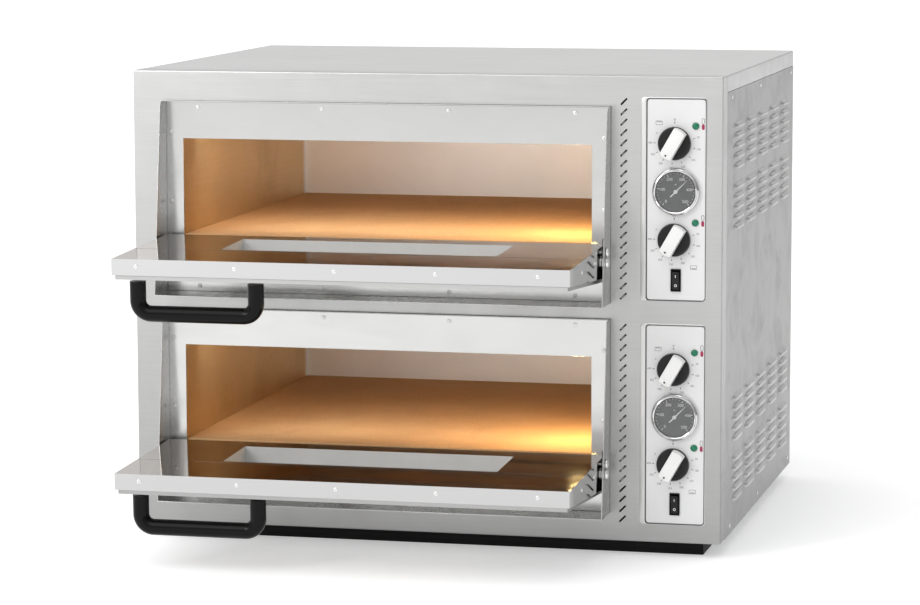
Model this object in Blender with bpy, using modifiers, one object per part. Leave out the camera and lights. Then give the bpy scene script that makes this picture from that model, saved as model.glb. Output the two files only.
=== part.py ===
"""Two-deck electric pizza oven: casing, two baking decks with drop-down doors, controls.

Metres, +Z up, front towards -Y. The origin is the centre of the footprint on the plinth's underside.
"""
import math

import bmesh
import bpy
from mathutils import Matrix, Vector

# ---- casing ----
WIDTH = 0.900
DEPTH = 0.725
CASE_HEIGHT = 0.690
PLINTH_HEIGHT = 0.022
PLINTH_INSET = 0.030
SHEET = 0.0015
GAP = 0.0003
SEAM = 0.0006
FRONT_RETURN = 0.040
BEND_RADIUS = 0.0025
LID_FLANGE = 0.025
FRONT_Y = -DEPTH / 2
BACK_Y = DEPTH / 2
CASE_Z = PLINTH_HEIGHT
TOP_Z = CASE_Z + CASE_HEIGHT
SIDE_X = WIDTH / 2
PARTITION_X = 0.322
SCREW_RADIUS = 0.0034
SCREW_HEIGHT = 0.0015
SIDE_SCREWS_Y = (FRONT_Y + 0.083, 0.0, BACK_Y - 0.030)
SIDE_SCREWS_Z = (CASE_Z + 0.014, CASE_Z + 0.656)
GLAND_X = 0.385
GLAND_Z = CASE_Z + 0.060
GLAND_THREAD = 0.010

# ---- decks: every height below is above the underside of the deck's collar ----
DECKS = {"lower": CASE_Z + 0.0415, "upper": CASE_Z + 0.3550}
DECK_X = -0.058
COLLAR_HALF = 0.3425
COLLAR_HEIGHT = 0.290
COLLAR_FOOT = 0.062
COLLAR_HEAD = 0.025
COLLAR_LIP = 0.007
MOUTH_HALF = 0.314
MOUTH_LOW = 0.086
MOUTH_HIGH = 0.233
CHAMBER_FLOOR = 0.048
CHAMBER_CEILING = 0.255
CHAMBER_FRONT = 0.002
CHAMBER_BACK = 0.670
CHAMBER_SHEET = 0.001
WOOL = 0.028
STONE_TOP = 0.0885
STONE_THICK = 0.017
HEATER_RADIUS = 0.004
HEATER_TURN = 0.042
HEATER_TURNS = 5
HEATER_FIRST = 0.120
HEATER_REACH = 0.230
HEATER_HEIGHTS = {"bottom": 0.060, "top": 0.243}
LAMP_Y = 0.110
LAMP_HEIGHT = 0.190

# ---- doors: u runs from the hinge to the free edge, n from the hinge to the inner face ----
HINGE_Y = FRONT_Y - 0.034
HINGE_HEIGHT = 0.064
DOOR_HALF = 0.337
DOOR_REACH = 0.236
DOOR_TAIL_INNER = 0.021
DOOR_TAIL_OUTER = 0.029
DOOR_INNER = 0.024
DOOR_THIN = 0.024
DOOR_THICK = 0.048
DOOR_SHEET = 0.0012
SKIN = 0.006
SKIN_INSET = 0.004
OPEN_ANGLE = math.radians(92.0)
WINDOW_HALF = 0.2075
WINDOW_LOW = 0.012
WINDOW_HIGH = 0.124
GLASS = 0.0035
GLASS_LAP = 0.008
HANDLE_U = 0.212
HANDLE_LEFT = -0.305
HANDLE_SPAN = 0.1765
HANDLE_RADIUS = 0.0125
HANDLE_STAND = 0.0476
HANDLE_BEND = 0.019
PIN_RADIUS = 0.004
RIVETS_X = [-0.300 + 0.1478 * i for i in range(5)]
RIVET_LEVEL = 0.0135
RIVET_RADIUS = 0.0026
RIVET_HEIGHT = 0.0010

# ---- controls ----
PLATE_CENTRES = {"lower": CASE_Z + 0.1765, "upper": CASE_Z + 0.5095}
PLATE_X = 0.3815
PLATE_WIDTH = 0.0880
PLATE_HEIGHT = 0.2965
PLATE_CORNER = 0.005
PLATE_THICK = 0.0015
PLATE_RECESS = 0.0005
PLATE_Y = FRONT_Y + PLATE_RECESS
KNOB_X = PLATE_X - 0.0028
KNOB_HEIGHTS = {"top": 0.0827, "bottom": -0.0588}
GAUGE_HEIGHT = 0.0125
PILOT_X = PLATE_X + 0.0285
PILOT_LIFT = 0.0258
SWITCH_HEIGHT = -0.1180
KNOB_RADIUS = 0.0245
KNOB_DEPTH = 0.024
KNOB_STAND = 0.0015
KNOB_TURN = math.radians(210.0)
SHAFT_RADIUS = 0.003
GAUGE_RADIUS = 0.035
GAUGE_PROUD = 0.009
GAUGE_BODY = 0.031
NEEDLE_TURN = math.radians(45.0)
PILOT_RADIUS = 0.006
PILOT_BODY = 0.0045
SWITCH_WIDTH = 0.015
SWITCH_LENGTH = 0.033
ROCKER_TILT = math.radians(8.0)

# ---- ventilation ----
VENT_X = 0.3035
VENT_COUNT = 20
VENT_PITCH = 0.01507
VENT_TOPS = {"lower": CASE_Z + 0.3198, "upper": CASE_Z + 0.6524}
LOUVRE_COLUMNS = 5
LOUVRE_ROWS = 5
LOUVRE_FIRST_Y = FRONT_Y + 0.149
LOUVRE_COLUMN_PITCH = 0.119
LOUVRE_ROW_PITCH = 0.0152
LOUVRE_BLOCK_TOPS = [CASE_Z + 0.2025, CASE_Z + 0.1110, CASE_Z + 0.6120, CASE_Z + 0.5210]
LOUVRE_LENGTH = 0.078
LOUVRE_HEIGHT = 0.0085
LOUVRE_PROUD = 0.0045

COLOURS = {
    "brushed_steel": ((0.60, 0.60, 0.60), 0.38, 1.0),
    "polished_steel": ((0.72, 0.72, 0.71), 0.12, 1.0),
    "chamber_steel": ((0.55, 0.36, 0.19), 0.45, 0.8),
    "refractory": ((0.72, 0.50, 0.30), 0.90, 0.0),
    "mineral_wool": ((0.62, 0.58, 0.45), 1.0, 0.0),
    "heater_alloy": ((0.25, 0.24, 0.23), 0.5, 0.9),
    "black_paint": ((0.02, 0.02, 0.02), 0.55, 0.0),
    "black_plastic": ((0.015, 0.015, 0.015), 0.35, 0.0),
    "white_plastic": ((0.85, 0.85, 0.84), 0.35, 0.0),
    "control_foil": ((0.86, 0.86, 0.86), 0.45, 0.0),
    "door_glass": ((0.75, 0.80, 0.78), 0.05, 0.0),
    "gauge_face": ((0.20, 0.21, 0.22), 0.4, 0.0),
    "green_lens": ((0.02, 0.30, 0.16), 0.2, 0.0),
}


# ---- scene and material helpers ----
def clear_scene():
    """Remove whatever objects the file opened with."""
    for obj in list(bpy.data.objects):
        bpy.data.objects.remove(obj, do_unlink=True)


def new_collection(name):
    """A collection linked into the scene."""
    collection = bpy.data.collections.new(name)
    bpy.context.scene.collection.children.link(collection)
    return collection


def material(name):
    """The Principled material of that name, made on first use."""
    if name in bpy.data.materials:
        return bpy.data.materials[name]
    colour, roughness, metallic = COLOURS[name]
    mat = bpy.data.materials.new(name)
    mat.use_nodes = True
    shader = mat.node_tree.nodes["Principled BSDF"]
    shader.inputs["Base Color"].default_value = (*colour, 1.0)
    shader.inputs["Roughness"].default_value = roughness
    shader.inputs["Metallic"].default_value = metallic
    return mat


def add_mesh(name, bm, finish):
    """Turn a bmesh into a part object with its finish."""
    mesh = bpy.data.meshes.new(name)
    bm.normal_update()
    bm.to_mesh(mesh)
    bm.free()
    obj = bpy.data.objects.new(name, mesh)
    PARTS.objects.link(obj)
    obj.data.materials.append(material(finish))
    return obj


def add_cutter(name, bm):
    """Turn a bmesh into a hidden wire cutter."""
    mesh = bpy.data.meshes.new(name)
    bm.to_mesh(mesh)
    bm.free()
    obj = bpy.data.objects.new(name, mesh)
    CUTTERS.objects.link(obj)
    obj.display_type = "WIRE"
    obj.hide_render = True
    return obj


def boolean(obj, tool, operation="DIFFERENCE"):
    """A live exact Boolean of obj with tool."""
    modifier = obj.modifiers.new(operation.title(), "BOOLEAN")
    modifier.operation = operation
    modifier.solver = "EXACT"
    modifier.object = tool


def solidify(obj, thickness, offset=-1.0):
    """Give an open surface its sheet thickness."""
    modifier = obj.modifiers.new("Sheet", "SOLIDIFY")
    modifier.thickness = thickness
    modifier.offset = offset
    modifier.use_even_offset = True


def smooth(obj, angle=35.0):
    """Smooth shading with creases kept sharp."""
    obj.data.shade_smooth()
    obj.data.set_sharp_from_angle(angle=math.radians(angle))


# ---- shape helpers ----
def add_box(bm, low, high):
    """Add a box between two corners and return its vertices."""
    centre = [(a + b) / 2 for a, b in zip(low, high)]
    size = [b - a for a, b in zip(low, high)]
    matrix = Matrix.Translation(centre) @ Matrix.Diagonal((*size, 1.0))
    return bmesh.ops.create_cube(bm, size=1.0, matrix=matrix)["verts"]


def add_rod(bm, start, end, radius, segments=16, end_radius=None):
    """Add a capped cylinder or cone from start to end."""
    start, end = Vector(start), Vector(end)
    axis = end - start
    turn = axis.to_track_quat("Z", "Y").to_matrix().to_4x4()
    far = radius if end_radius is None else end_radius
    bmesh.ops.create_cone(bm, cap_ends=True, segments=segments, radius1=radius, radius2=far,
                          depth=axis.length, matrix=Matrix.Translation((start + end) / 2) @ turn)


def box_part(name, low, high, finish):
    """A plain box as a part."""
    bm = bmesh.new()
    add_box(bm, low, high)
    return add_mesh(name, bm, finish)


def open_box(name, low, high, open_side, thickness, finish, inside=True):
    """A sheet box with one side left off; open_side is an axis index and a sign."""
    axis, sign = open_side
    bm = bmesh.new()
    add_box(bm, low, high)
    bm.normal_update()
    lost = [face for face in bm.faces if face.normal[axis] * sign > 0.9]
    bmesh.ops.delete(bm, geom=lost, context="FACES_ONLY")
    obj = add_mesh(name, bm, finish)
    solidify(obj, thickness, -1.0 if inside else 1.0)
    return obj


def turned(name, profile, finish, place, turn=0.0, segments=24):
    """A part turned about the Y axis; profile holds (radius, y) from front to back."""
    bm = bmesh.new()
    points = [bm.verts.new((radius, 0.0, -y)) for radius, y in profile]
    for a, b in zip(points, points[1:]):
        bm.edges.new((a, b))
    obj = add_mesh(name, bm, finish)
    screw = obj.modifiers.new("Turn", "SCREW")
    screw.axis = "Z"
    screw.steps = segments
    screw.render_steps = segments
    screw.use_merge_vertices = True
    screw.merge_threshold = 0.00001
    obj.rotation_euler = (math.radians(90.0), turn, 0.0)
    obj.location = place
    return obj


def tube(name, points, radius, finish, bevel_resolution=2):
    """A closed round tube along a list of points, as a mesh part."""
    curve = bpy.data.curves.new(name + "_path", "CURVE")
    curve.dimensions = "3D"
    curve.bevel_depth = radius
    curve.bevel_resolution = bevel_resolution
    curve.use_fill_caps = True
    spline = curve.splines.new("POLY")
    spline.points.add(len(points) - 1)
    for target, point in zip(spline.points, points):
        target.co = (*point, 1.0)
    guide = bpy.data.objects.new(name + "_path", curve)
    PARTS.objects.link(guide)
    bpy.context.view_layer.update()
    mesh = bpy.data.meshes.new_from_object(guide.evaluated_get(bpy.context.evaluated_depsgraph_get()))
    bpy.data.objects.remove(guide, do_unlink=True)
    bm = bmesh.new()
    bm.from_mesh(mesh)
    bpy.data.meshes.remove(mesh)
    bmesh.ops.remove_doubles(bm, verts=bm.verts, dist=0.00001)
    obj = add_mesh(name, bm, finish)
    smooth(obj)
    return obj


def arc(centre, radius, start, end, steps):
    """Points (a, b) on an arc, angles in degrees."""
    angles = [math.radians(start + (end - start) * i / steps) for i in range(steps + 1)]
    return [(centre[0] + radius * math.cos(t), centre[1] + radius * math.sin(t)) for t in angles]


def rounded_outline(half_a, half_b, radius, steps=3):
    """Corner-rounded rectangle as (a, b) points, anticlockwise."""
    corners = [(1, 1, 0), (-1, 1, 90), (-1, -1, 180), (1, -1, 270)]
    points = []
    for sign_a, sign_b, start in corners:
        centre = (sign_a * (half_a - radius), sign_b * (half_b - radius))
        points += arc(centre, radius, start, start + 90, steps)
    return points


def add_prism(bm, outline, place, axis, depth):
    """Extrude a closed outline along an axis; place maps an (a, b) pair to a point."""
    face = bm.faces.new([bm.verts.new(place(a, b)) for a, b in outline])
    made = bmesh.ops.extrude_face_region(bm, geom=[face])["geom"]
    bmesh.ops.translate(bm, vec=Vector(axis) * depth,
                        verts=[item for item in made if isinstance(item, bmesh.types.BMVert)])
    bmesh.ops.recalc_face_normals(bm, faces=bm.faces)


def hinge_empty(name, place):
    """An empty on a joint's axis."""
    empty = bpy.data.objects.new(name, None)
    empty.location = place
    empty.empty_display_size = 0.05
    PARTS.objects.link(empty)
    return empty


# ---- casing ----
def vent_slots(bm):
    """Two columns of short slanted slots beside the controls."""
    run = 0.0046
    half = 0.0010
    for top in VENT_TOPS.values():
        for row in range(VENT_COUNT):
            centre = (VENT_X, top - row * VENT_PITCH)
            outline = [(-run - half, -run + half), (-run + half, -run - half),
                       (run + half, run - half), (run - half, run + half)]
            add_prism(bm, outline,
                      lambda a, b, c=centre: (c[0] + a, FRONT_Y - 0.002, c[1] + b), (0, 1, 0), 0.006)


def casing_front():
    """Front sheet with returned edges, deck openings, control openings and vents."""
    low = (-SIDE_X, FRONT_Y, CASE_Z)
    high = (SIDE_X, FRONT_Y + FRONT_RETURN, TOP_Z)
    bm = bmesh.new()
    add_box(bm, low, high)
    bm.normal_update()
    back = [face for face in bm.faces if face.normal.y > 0.9]
    bmesh.ops.delete(bm, geom=back, context="FACES_ONLY")
    bends = [edge for edge in bm.edges if not edge.is_boundary]
    bmesh.ops.bevel(bm, geom=bends, offset=BEND_RADIUS, segments=2, profile=0.5, affect="EDGES")
    front = add_mesh("casing_front_panel", bm, "brushed_steel")
    solidify(front, SHEET)

    cut = bmesh.new()
    for base in DECKS.values():
        half = COLLAR_HALF + GAP
        add_box(cut, (DECK_X - half, FRONT_Y - 0.002, base - GAP),
                (DECK_X + half, FRONT_Y + 0.005, base + COLLAR_HEIGHT + GAP))
    for centre in PLATE_CENTRES.values():
        outline = rounded_outline(PLATE_WIDTH / 2 + SEAM, PLATE_HEIGHT / 2 + SEAM, PLATE_CORNER)
        add_prism(cut, outline, lambda a, b, c=centre: (PLATE_X + a, FRONT_Y - 0.002, c + b),
                  (0, 1, 0), 0.006)
    vent_slots(cut)
    boolean(front, add_cutter("front_openings", cut))


def casing_covers():
    """Lid, back, floor pan, plinth and the wall of the control bay."""
    start = FRONT_Y + FRONT_RETURN + SEAM
    bm = bmesh.new()
    add_box(bm, (-SIDE_X, start, TOP_Z - LID_FLANGE), (SIDE_X, BACK_Y, TOP_Z))
    bm.normal_update()
    lost = [face for face in bm.faces if face.normal.y < -0.9 or face.normal.z < -0.9]
    bmesh.ops.delete(bm, geom=lost, context="FACES_ONLY")
    bends = [edge for edge in bm.edges if not edge.is_boundary]
    bmesh.ops.bevel(bm, geom=bends, offset=BEND_RADIUS, segments=2, profile=0.5, affect="EDGES")
    solidify(add_mesh("casing_lid", bm, "brushed_steel"), SHEET)

    inner_x = SIDE_X - SHEET - GAP
    back_top = TOP_Z - LID_FLANGE - SEAM
    back = box_part("casing_back_panel", (-inner_x, BACK_Y - SHEET, CASE_Z),
                    (inner_x, BACK_Y, back_top), "brushed_steel")
    cut = bmesh.new()
    add_rod(cut, (GLAND_X, BACK_Y - 0.01, GLAND_Z), (GLAND_X, BACK_Y + 0.01, GLAND_Z),
            GLAND_THREAD + GAP, 20)
    boolean(back, add_cutter("gland_hole", cut))

    floor_front = FRONT_Y + SHEET + GAP + 0.001
    open_box("base_pan", (-inner_x + 0.001, floor_front, CASE_Z + SHEET + GAP),
             (inner_x - 0.001, BACK_Y - SHEET - GAP, CASE_Z + 0.018), (2, 1), SHEET, "brushed_steel")
    open_box("plinth", (-SIDE_X + PLINTH_INSET, FRONT_Y + PLINTH_INSET, 0.0),
             (SIDE_X - PLINTH_INSET, BACK_Y - PLINTH_INSET, PLINTH_HEIGHT - GAP), (2, 1), 0.002,
             "black_paint")
    box_part("control_bay_wall", (PARTITION_X, FRONT_Y + 0.006, CASE_Z + 0.020),
             (PARTITION_X + 0.001, BACK_Y - 0.004, TOP_Z - 0.004), "brushed_steel")


def louvre(bm, y_centre, z_top):
    """One pressed louvre: a hood that stands out at its lower edge, closed at both ends."""
    half = LOUVRE_LENGTH / 2
    skin = SIDE_X - SHEET * 0.6
    outline = [(skin, z_top), (SIDE_X + LOUVRE_PROUD * 0.75, z_top - LOUVRE_HEIGHT * 0.45),
               (SIDE_X + LOUVRE_PROUD, z_top - LOUVRE_HEIGHT), (skin, z_top - LOUVRE_HEIGHT)]
    verts = len(bm.verts)
    add_prism(bm, outline, lambda a, b: (a, y_centre - half, b), (0, 1, 0), LOUVRE_LENGTH)
    bm.verts.ensure_lookup_table()
    for vert in list(bm.verts)[verts:]:
        if vert.co.x > SIDE_X:
            vert.co.y = y_centre + (vert.co.y - y_centre) * 0.84


def casing_sides():
    """Left side with its screw heads and louvred right side."""
    start = FRONT_Y + FRONT_RETURN + SEAM
    end = BACK_Y
    top = TOP_Z - LID_FLANGE - SEAM
    left = box_part("casing_left_panel", (-SIDE_X, start, CASE_Z), (-SIDE_X + SHEET, end, top),
                    "brushed_steel")
    heads = bmesh.new()
    for y in SIDE_SCREWS_Y:
        for z in SIDE_SCREWS_Z:
            add_rod(heads, (-SIDE_X + SHEET / 2, y, z), (-SIDE_X - SCREW_HEIGHT, y, z), SCREW_RADIUS, 12)
    boolean(left, add_cutter("left_screw_heads", heads), "UNION")
    right = box_part("casing_right_panel", (SIDE_X - SHEET, start, CASE_Z), (SIDE_X, end, top),
                     "brushed_steel")
    hoods = bmesh.new()
    for z_top in LOUVRE_BLOCK_TOPS:
        for row in range(LOUVRE_ROWS):
            for column in range(LOUVRE_COLUMNS):
                y_centre = LOUVRE_FIRST_Y + column * LOUVRE_COLUMN_PITCH
                louvre(hoods, y_centre, z_top - row * LOUVRE_ROW_PITCH + LOUVRE_HEIGHT / 2)
    boolean(right, add_cutter("louvre_hoods", hoods), "UNION")


def cable_gland():
    """Cable gland in the back panel."""
    flange = 0.0165
    profile = [(0.0, -0.028), (0.0095, -0.028), (0.0125, -0.020), (0.0125, -0.008),
               (flange, -0.008), (flange, -GAP), (GLAND_THREAD, -GAP), (GLAND_THREAD, 0.012),
               (0.0, 0.012)]
    gland = turned("cable_gland", profile, "black_plastic", (GLAND_X, BACK_Y, GLAND_Z), segments=16)
    gland.rotation_euler.z = math.pi


# ---- baking decks ----
def collar(deck, base):
    """Four-sided collar whose cheeks widen towards the foot."""
    half = COLLAR_HALF
    rear = FRONT_Y + SHEET
    top = base + COLLAR_HEIGHT
    shoulder = top - 0.006
    slope = (COLLAR_FOOT - COLLAR_HEAD) / COLLAR_HEIGHT
    head = FRONT_Y - COLLAR_HEAD
    cheek = [(rear, base), (FRONT_Y - COLLAR_FOOT, base), (head - slope * 0.006, shoulder),
             (head + 0.003, top - 0.0015), (head + 0.009, top), (FRONT_Y - COLLAR_LIP, top), (rear, top)]
    bm = bmesh.new()
    sides = []
    for sign in (-1, 1):
        verts = [bm.verts.new((DECK_X + sign * half, y, z)) for y, z in cheek]
        bm.faces.new(verts if sign > 0 else list(reversed(verts)))
        sides.append(verts)
    left, right = sides
    bm.faces.new((left[0], left[1], right[1], right[0]))
    bm.faces.new((left[5], left[6], right[6], right[5]))
    bmesh.ops.recalc_face_normals(bm, faces=bm.faces)
    obj = add_mesh(deck + "_collar", bm, "brushed_steel")
    inward = Vector((DECK_X, rear, base + COLLAR_HEIGHT / 2))
    face = obj.data.polygons[0]
    outward = face.normal.dot(face.center - inward) > 0
    solidify(obj, SHEET, -1.0 if outward else 1.0)
    pins = bmesh.new()
    for sign in (-1, 1):
        x = DECK_X + sign * half
        z = base + HINGE_HEIGHT
        add_rod(pins, (x - 0.005, HINGE_Y, z), (x + 0.005, HINGE_Y, z), PIN_RADIUS + GAP, 16)
    boolean(obj, add_cutter(deck + "_collar_pin_holes", pins))


def mouth_frame(deck, base):
    """Polished panel inside the collar, around the chamber's mouth."""
    half = COLLAR_HALF - SHEET - GAP
    panel = box_part(deck + "_mouth_frame", (DECK_X - half, FRONT_Y, base + SHEET + GAP),
                     (DECK_X + half, FRONT_Y + SHEET, base + COLLAR_HEIGHT - SHEET - GAP),
                     "polished_steel")
    cut = bmesh.new()
    add_box(cut, (DECK_X - MOUTH_HALF, FRONT_Y - 0.01, base + MOUTH_LOW),
            (DECK_X + MOUTH_HALF, FRONT_Y + 0.01, base + MOUTH_HIGH))
    boolean(panel, add_cutter(deck + "_mouth", cut))


def heater_ends(height):
    """The two y positions where a heater leaves the chamber."""
    last = HEATER_FIRST + HEATER_TURNS * 2 * HEATER_TURN
    return [(HEATER_FIRST, height), (last, height)]


def wall_holes(deck, base):
    """Cutter for everything that passes through the chamber's right wall."""
    x = DECK_X + MOUTH_HALF
    cut = bmesh.new()
    for height in HEATER_HEIGHTS.values():
        for y, z in heater_ends(height):
            add_rod(cut, (x - 0.01, FRONT_Y + y, base + z), (x + 0.05, FRONT_Y + y, base + z),
                    HEATER_RADIUS + 0.0006, 8)
    add_rod(cut, (x - 0.01, FRONT_Y + LAMP_Y, base + LAMP_HEIGHT),
            (x + 0.05, FRONT_Y + LAMP_Y, base + LAMP_HEIGHT), 0.0194, 20)
    return add_cutter(deck + "_wall_holes", cut)


def chamber(deck, base):
    """Sheet liner, insulating jacket and refractory floor of one deck."""
    holes = wall_holes(deck, base)
    low = (DECK_X - MOUTH_HALF, FRONT_Y + CHAMBER_FRONT, base + CHAMBER_FLOOR)
    high = (DECK_X + MOUTH_HALF, FRONT_Y + CHAMBER_BACK, base + CHAMBER_CEILING)
    liner = open_box(deck + "_chamber", low, high, (1, -1), CHAMBER_SHEET, "chamber_steel", False)
    boolean(liner, holes)
    rim = CHAMBER_SHEET + GAP
    wool_low = (low[0] - rim, FRONT_Y + 0.005, low[2] - rim)
    wool_high = (high[0] + rim, high[1] + rim, high[2] + rim)
    jacket = open_box(deck + "_insulation", wool_low, wool_high, (1, -1), WOOL, "mineral_wool", False)
    boolean(jacket, holes)
    box_part(deck + "_baking_stone",
             (low[0] + GAP, FRONT_Y + CHAMBER_FRONT + 0.001, base + STONE_TOP - STONE_THICK),
             (high[0] - GAP, high[1] - 0.002, base + STONE_TOP), "refractory")


def heater(deck, base, place, height):
    """Sheathed element: straight runs joined by half-round turns, both ends through the right wall."""
    z = base + height
    out = DECK_X + MOUTH_HALF + 0.045
    points = [(out, FRONT_Y + HEATER_FIRST, z)]
    for turn in range(HEATER_TURNS):
        side = -1 if turn % 2 == 0 else 1
        x = DECK_X + side * HEATER_REACH
        y = FRONT_Y + HEATER_FIRST + (2 * turn + 1) * HEATER_TURN
        for a, b in arc((0.0, 0.0), HEATER_TURN, -90, 90, 6):
            points.append((x + side * a, y + b, z))
    points.append((out, FRONT_Y + heater_ends(height)[1][0], z))
    tube(deck + "_" + place + "_heater", points, HEATER_RADIUS, "heater_alloy")


def lamp(deck, base):
    """Oven lamp in the right wall: dome, flange and socket in one turned piece."""
    profile = [(0.0, -0.014), (0.008, -0.013), (0.014, -0.009), (0.017, -0.002), (0.0245, -0.002),
               (0.0245, -GAP), (0.019, -GAP), (0.019, 0.034), (0.0, 0.034)]
    obj = turned(deck + "_oven_lamp", profile, "door_glass",
                 (DECK_X + MOUTH_HALF, FRONT_Y + LAMP_Y, base + LAMP_HEIGHT), segments=20)
    obj.rotation_euler.z = math.radians(-90.0)


# ---- doors ----
def door_outer(u):
    """How far the outer face lies from the hinge line, at a distance u along the door."""
    return DOOR_INNER - DOOR_THICK + (DOOR_THICK - DOOR_THIN) * u / DOOR_REACH


def door_point(x, u, n):
    """A point of the closed door relative to its hinge."""
    return (DECK_X + x, n, u)


def slab_between(bm, half, u_low, u_high, n_at_low, n_at_high):
    """A block across the door; each n pair is (outer, inner) at that end."""
    outline = [(u_low, n_at_low[0]), (u_high, n_at_high[0]), (u_high, n_at_high[1]), (u_low, n_at_low[1])]
    add_prism(bm, outline, lambda u, n: door_point(-half, u, n), (1, 0, 0), 2 * half)


def door_inner(deck, hinge):
    """Inner pan: polished face, side walls, riveted free edge and the window's reveal."""
    bm = bmesh.new()
    tail = -DOOR_TAIL_OUTER
    outline = [(-DOOR_TAIL_INNER, DOOR_INNER), (DOOR_REACH, DOOR_INNER),
               (DOOR_REACH, door_outer(DOOR_REACH)), (tail, door_outer(tail)), (tail, 0.0)]
    add_prism(bm, outline, lambda u, n: door_point(-DOOR_HALF, u, n), (1, 0, 0), 2 * DOOR_HALF)
    bm.normal_update()
    outer = [face for face in bm.faces if face.normal.y < -0.9]
    bmesh.ops.delete(bm, geom=outer, context="FACES_ONLY")
    pan = add_mesh(deck + "_door_inner", bm, "polished_steel")
    solidify(pan, DOOR_SHEET)

    reveal = bmesh.new()
    wall = DOOR_SHEET
    low, high = WINDOW_LOW - wall, WINDOW_HIGH + wall
    slab_between(reveal, WINDOW_HALF + wall, low, high, (door_outer(low) + 0.0005, DOOR_INNER - 0.0004),
                 (door_outer(high) + 0.0005, DOOR_INNER - 0.0004))
    reveal_walls = add_cutter(deck + "_window_reveal", reveal)
    boolean(pan, reveal_walls, "UNION")
    heads = bmesh.new()
    for x in RIVETS_X:
        start = door_point(x, DOOR_REACH - DOOR_SHEET / 2, RIVET_LEVEL)
        end = door_point(x, DOOR_REACH + RIVET_HEIGHT, RIVET_LEVEL)
        add_rod(heads, start, end, RIVET_RADIUS, 12, RIVET_RADIUS * 0.55)
    rivets = add_cutter(deck + "_edge_rivets", heads)
    boolean(pan, rivets, "UNION")
    hole = bmesh.new()
    slab_between(hole, WINDOW_HALF, WINDOW_LOW, WINDOW_HIGH, (-0.04, 0.04), (-0.04, 0.04))
    for sign in (-1, 1):
        add_rod(hole, (DECK_X + sign * (DOOR_HALF - 0.004), 0, 0), (DECK_X + sign * (DOOR_HALF + 0.004), 0, 0),
                PIN_RADIUS + 0.0005, 16)
    cutter = add_cutter(deck + "_door_holes", hole)
    boolean(pan, cutter)
    for obj in (pan, cutter, reveal_walls, rivets):
        obj.parent = hinge


def door_skin(deck, hinge):
    """Outer door sheet, a shallow tray inset from the pan's edges, with the window opening."""
    half = DOOR_HALF - SKIN_INSET
    low = -DOOR_TAIL_OUTER + SKIN_INSET
    high = DOOR_REACH - SKIN_INSET
    bm = bmesh.new()
    near, far = door_outer(low) - GAP, door_outer(high) - GAP
    slab_between(bm, half, low, high, (near - SKIN, near), (far - SKIN, far))
    bm.normal_update()
    open_face = [face for face in bm.faces if face.normal.y > 0.9]
    bmesh.ops.delete(bm, geom=open_face, context="FACES_ONLY")
    skin = add_mesh(deck + "_door_skin", bm, "brushed_steel")
    solidify(skin, DOOR_SHEET)
    hole = bmesh.new()
    slab_between(hole, WINDOW_HALF, WINDOW_LOW, WINDOW_HIGH, (-0.05, 0.02), (-0.05, 0.02))
    cutter = add_cutter(deck + "_skin_window", hole)
    boolean(skin, cutter)
    skin.parent = hinge
    cutter.parent = hinge


def door_glass(deck, hinge):
    """Heat-resistant pane clamped between the outer sheet and the window's reveal."""
    bm = bmesh.new()
    low, high = WINDOW_LOW - GLASS_LAP, WINDOW_HIGH + GLASS_LAP
    inset = DOOR_SHEET + 2 * GAP
    slab_between(bm, WINDOW_HALF + GLASS_LAP, low, high,
                 (door_outer(low) - SKIN + inset, door_outer(low) - SKIN + inset + GLASS),
                 (door_outer(high) - SKIN + inset, door_outer(high) - SKIN + inset + GLASS))
    add_mesh(deck + "_door_glass", bm, "door_glass").parent = hinge


def door_handle(deck, hinge):
    """Bent black tube whose legs stand on the outer sheet."""
    slope = (DOOR_THICK - DOOR_THIN) / DOOR_REACH
    foot = door_outer(HANDLE_U) - SKIN - 2 * GAP - slope * HANDLE_RADIUS
    grip = foot - HANDLE_STAND
    left = DECK_X + HANDLE_LEFT
    right = left + HANDLE_SPAN
    path = [(left, foot)]
    path += arc((left + HANDLE_BEND, grip + HANDLE_BEND), HANDLE_BEND, 180, 270, 5)
    path += arc((right - HANDLE_BEND, grip + HANDLE_BEND), HANDLE_BEND, 270, 360, 5)
    path += [(right, foot)]
    points = [(x, n, HANDLE_U) for x, n in path]
    tube(deck + "_door_handle", points, HANDLE_RADIUS, "black_plastic", 3).parent = hinge


def hinge_pins(deck, base):
    """Shouldered pins through the cheeks that carry the door."""
    for side, sign in (("left", -1), ("right", 1)):
        x = DECK_X + sign * COLLAR_HALF
        inner = SHEET + 2 * GAP
        spacer = COLLAR_HALF - DOOR_HALF - inner - GAP
        profile = [(0.0, -0.004), (0.006, -0.004), (0.008, -0.002), (0.008, -GAP), (PIN_RADIUS, -GAP),
                   (PIN_RADIUS, inner), (0.009, inner), (0.009, inner + spacer),
                   (PIN_RADIUS, inner + spacer), (PIN_RADIUS, inner + spacer + 0.010),
                   (0.0, inner + spacer + 0.010)]
        pin = turned(deck + "_" + side + "_hinge_pin", profile, "polished_steel",
                     (x, HINGE_Y, base + HINGE_HEIGHT), segments=12)
        pin.rotation_euler.z = math.radians(90.0 * sign)


def door(deck, base):
    """One door, built closed about its hinge and then swung open."""
    hinge = hinge_empty(deck + "_door_axis", (0.0, HINGE_Y, base + HINGE_HEIGHT))
    door_inner(deck, hinge)
    door_skin(deck, hinge)
    door_glass(deck, hinge)
    door_handle(deck, hinge)
    hinge.rotation_euler.x = OPEN_ANGLE
    hinge_pins(deck, base)


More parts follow.
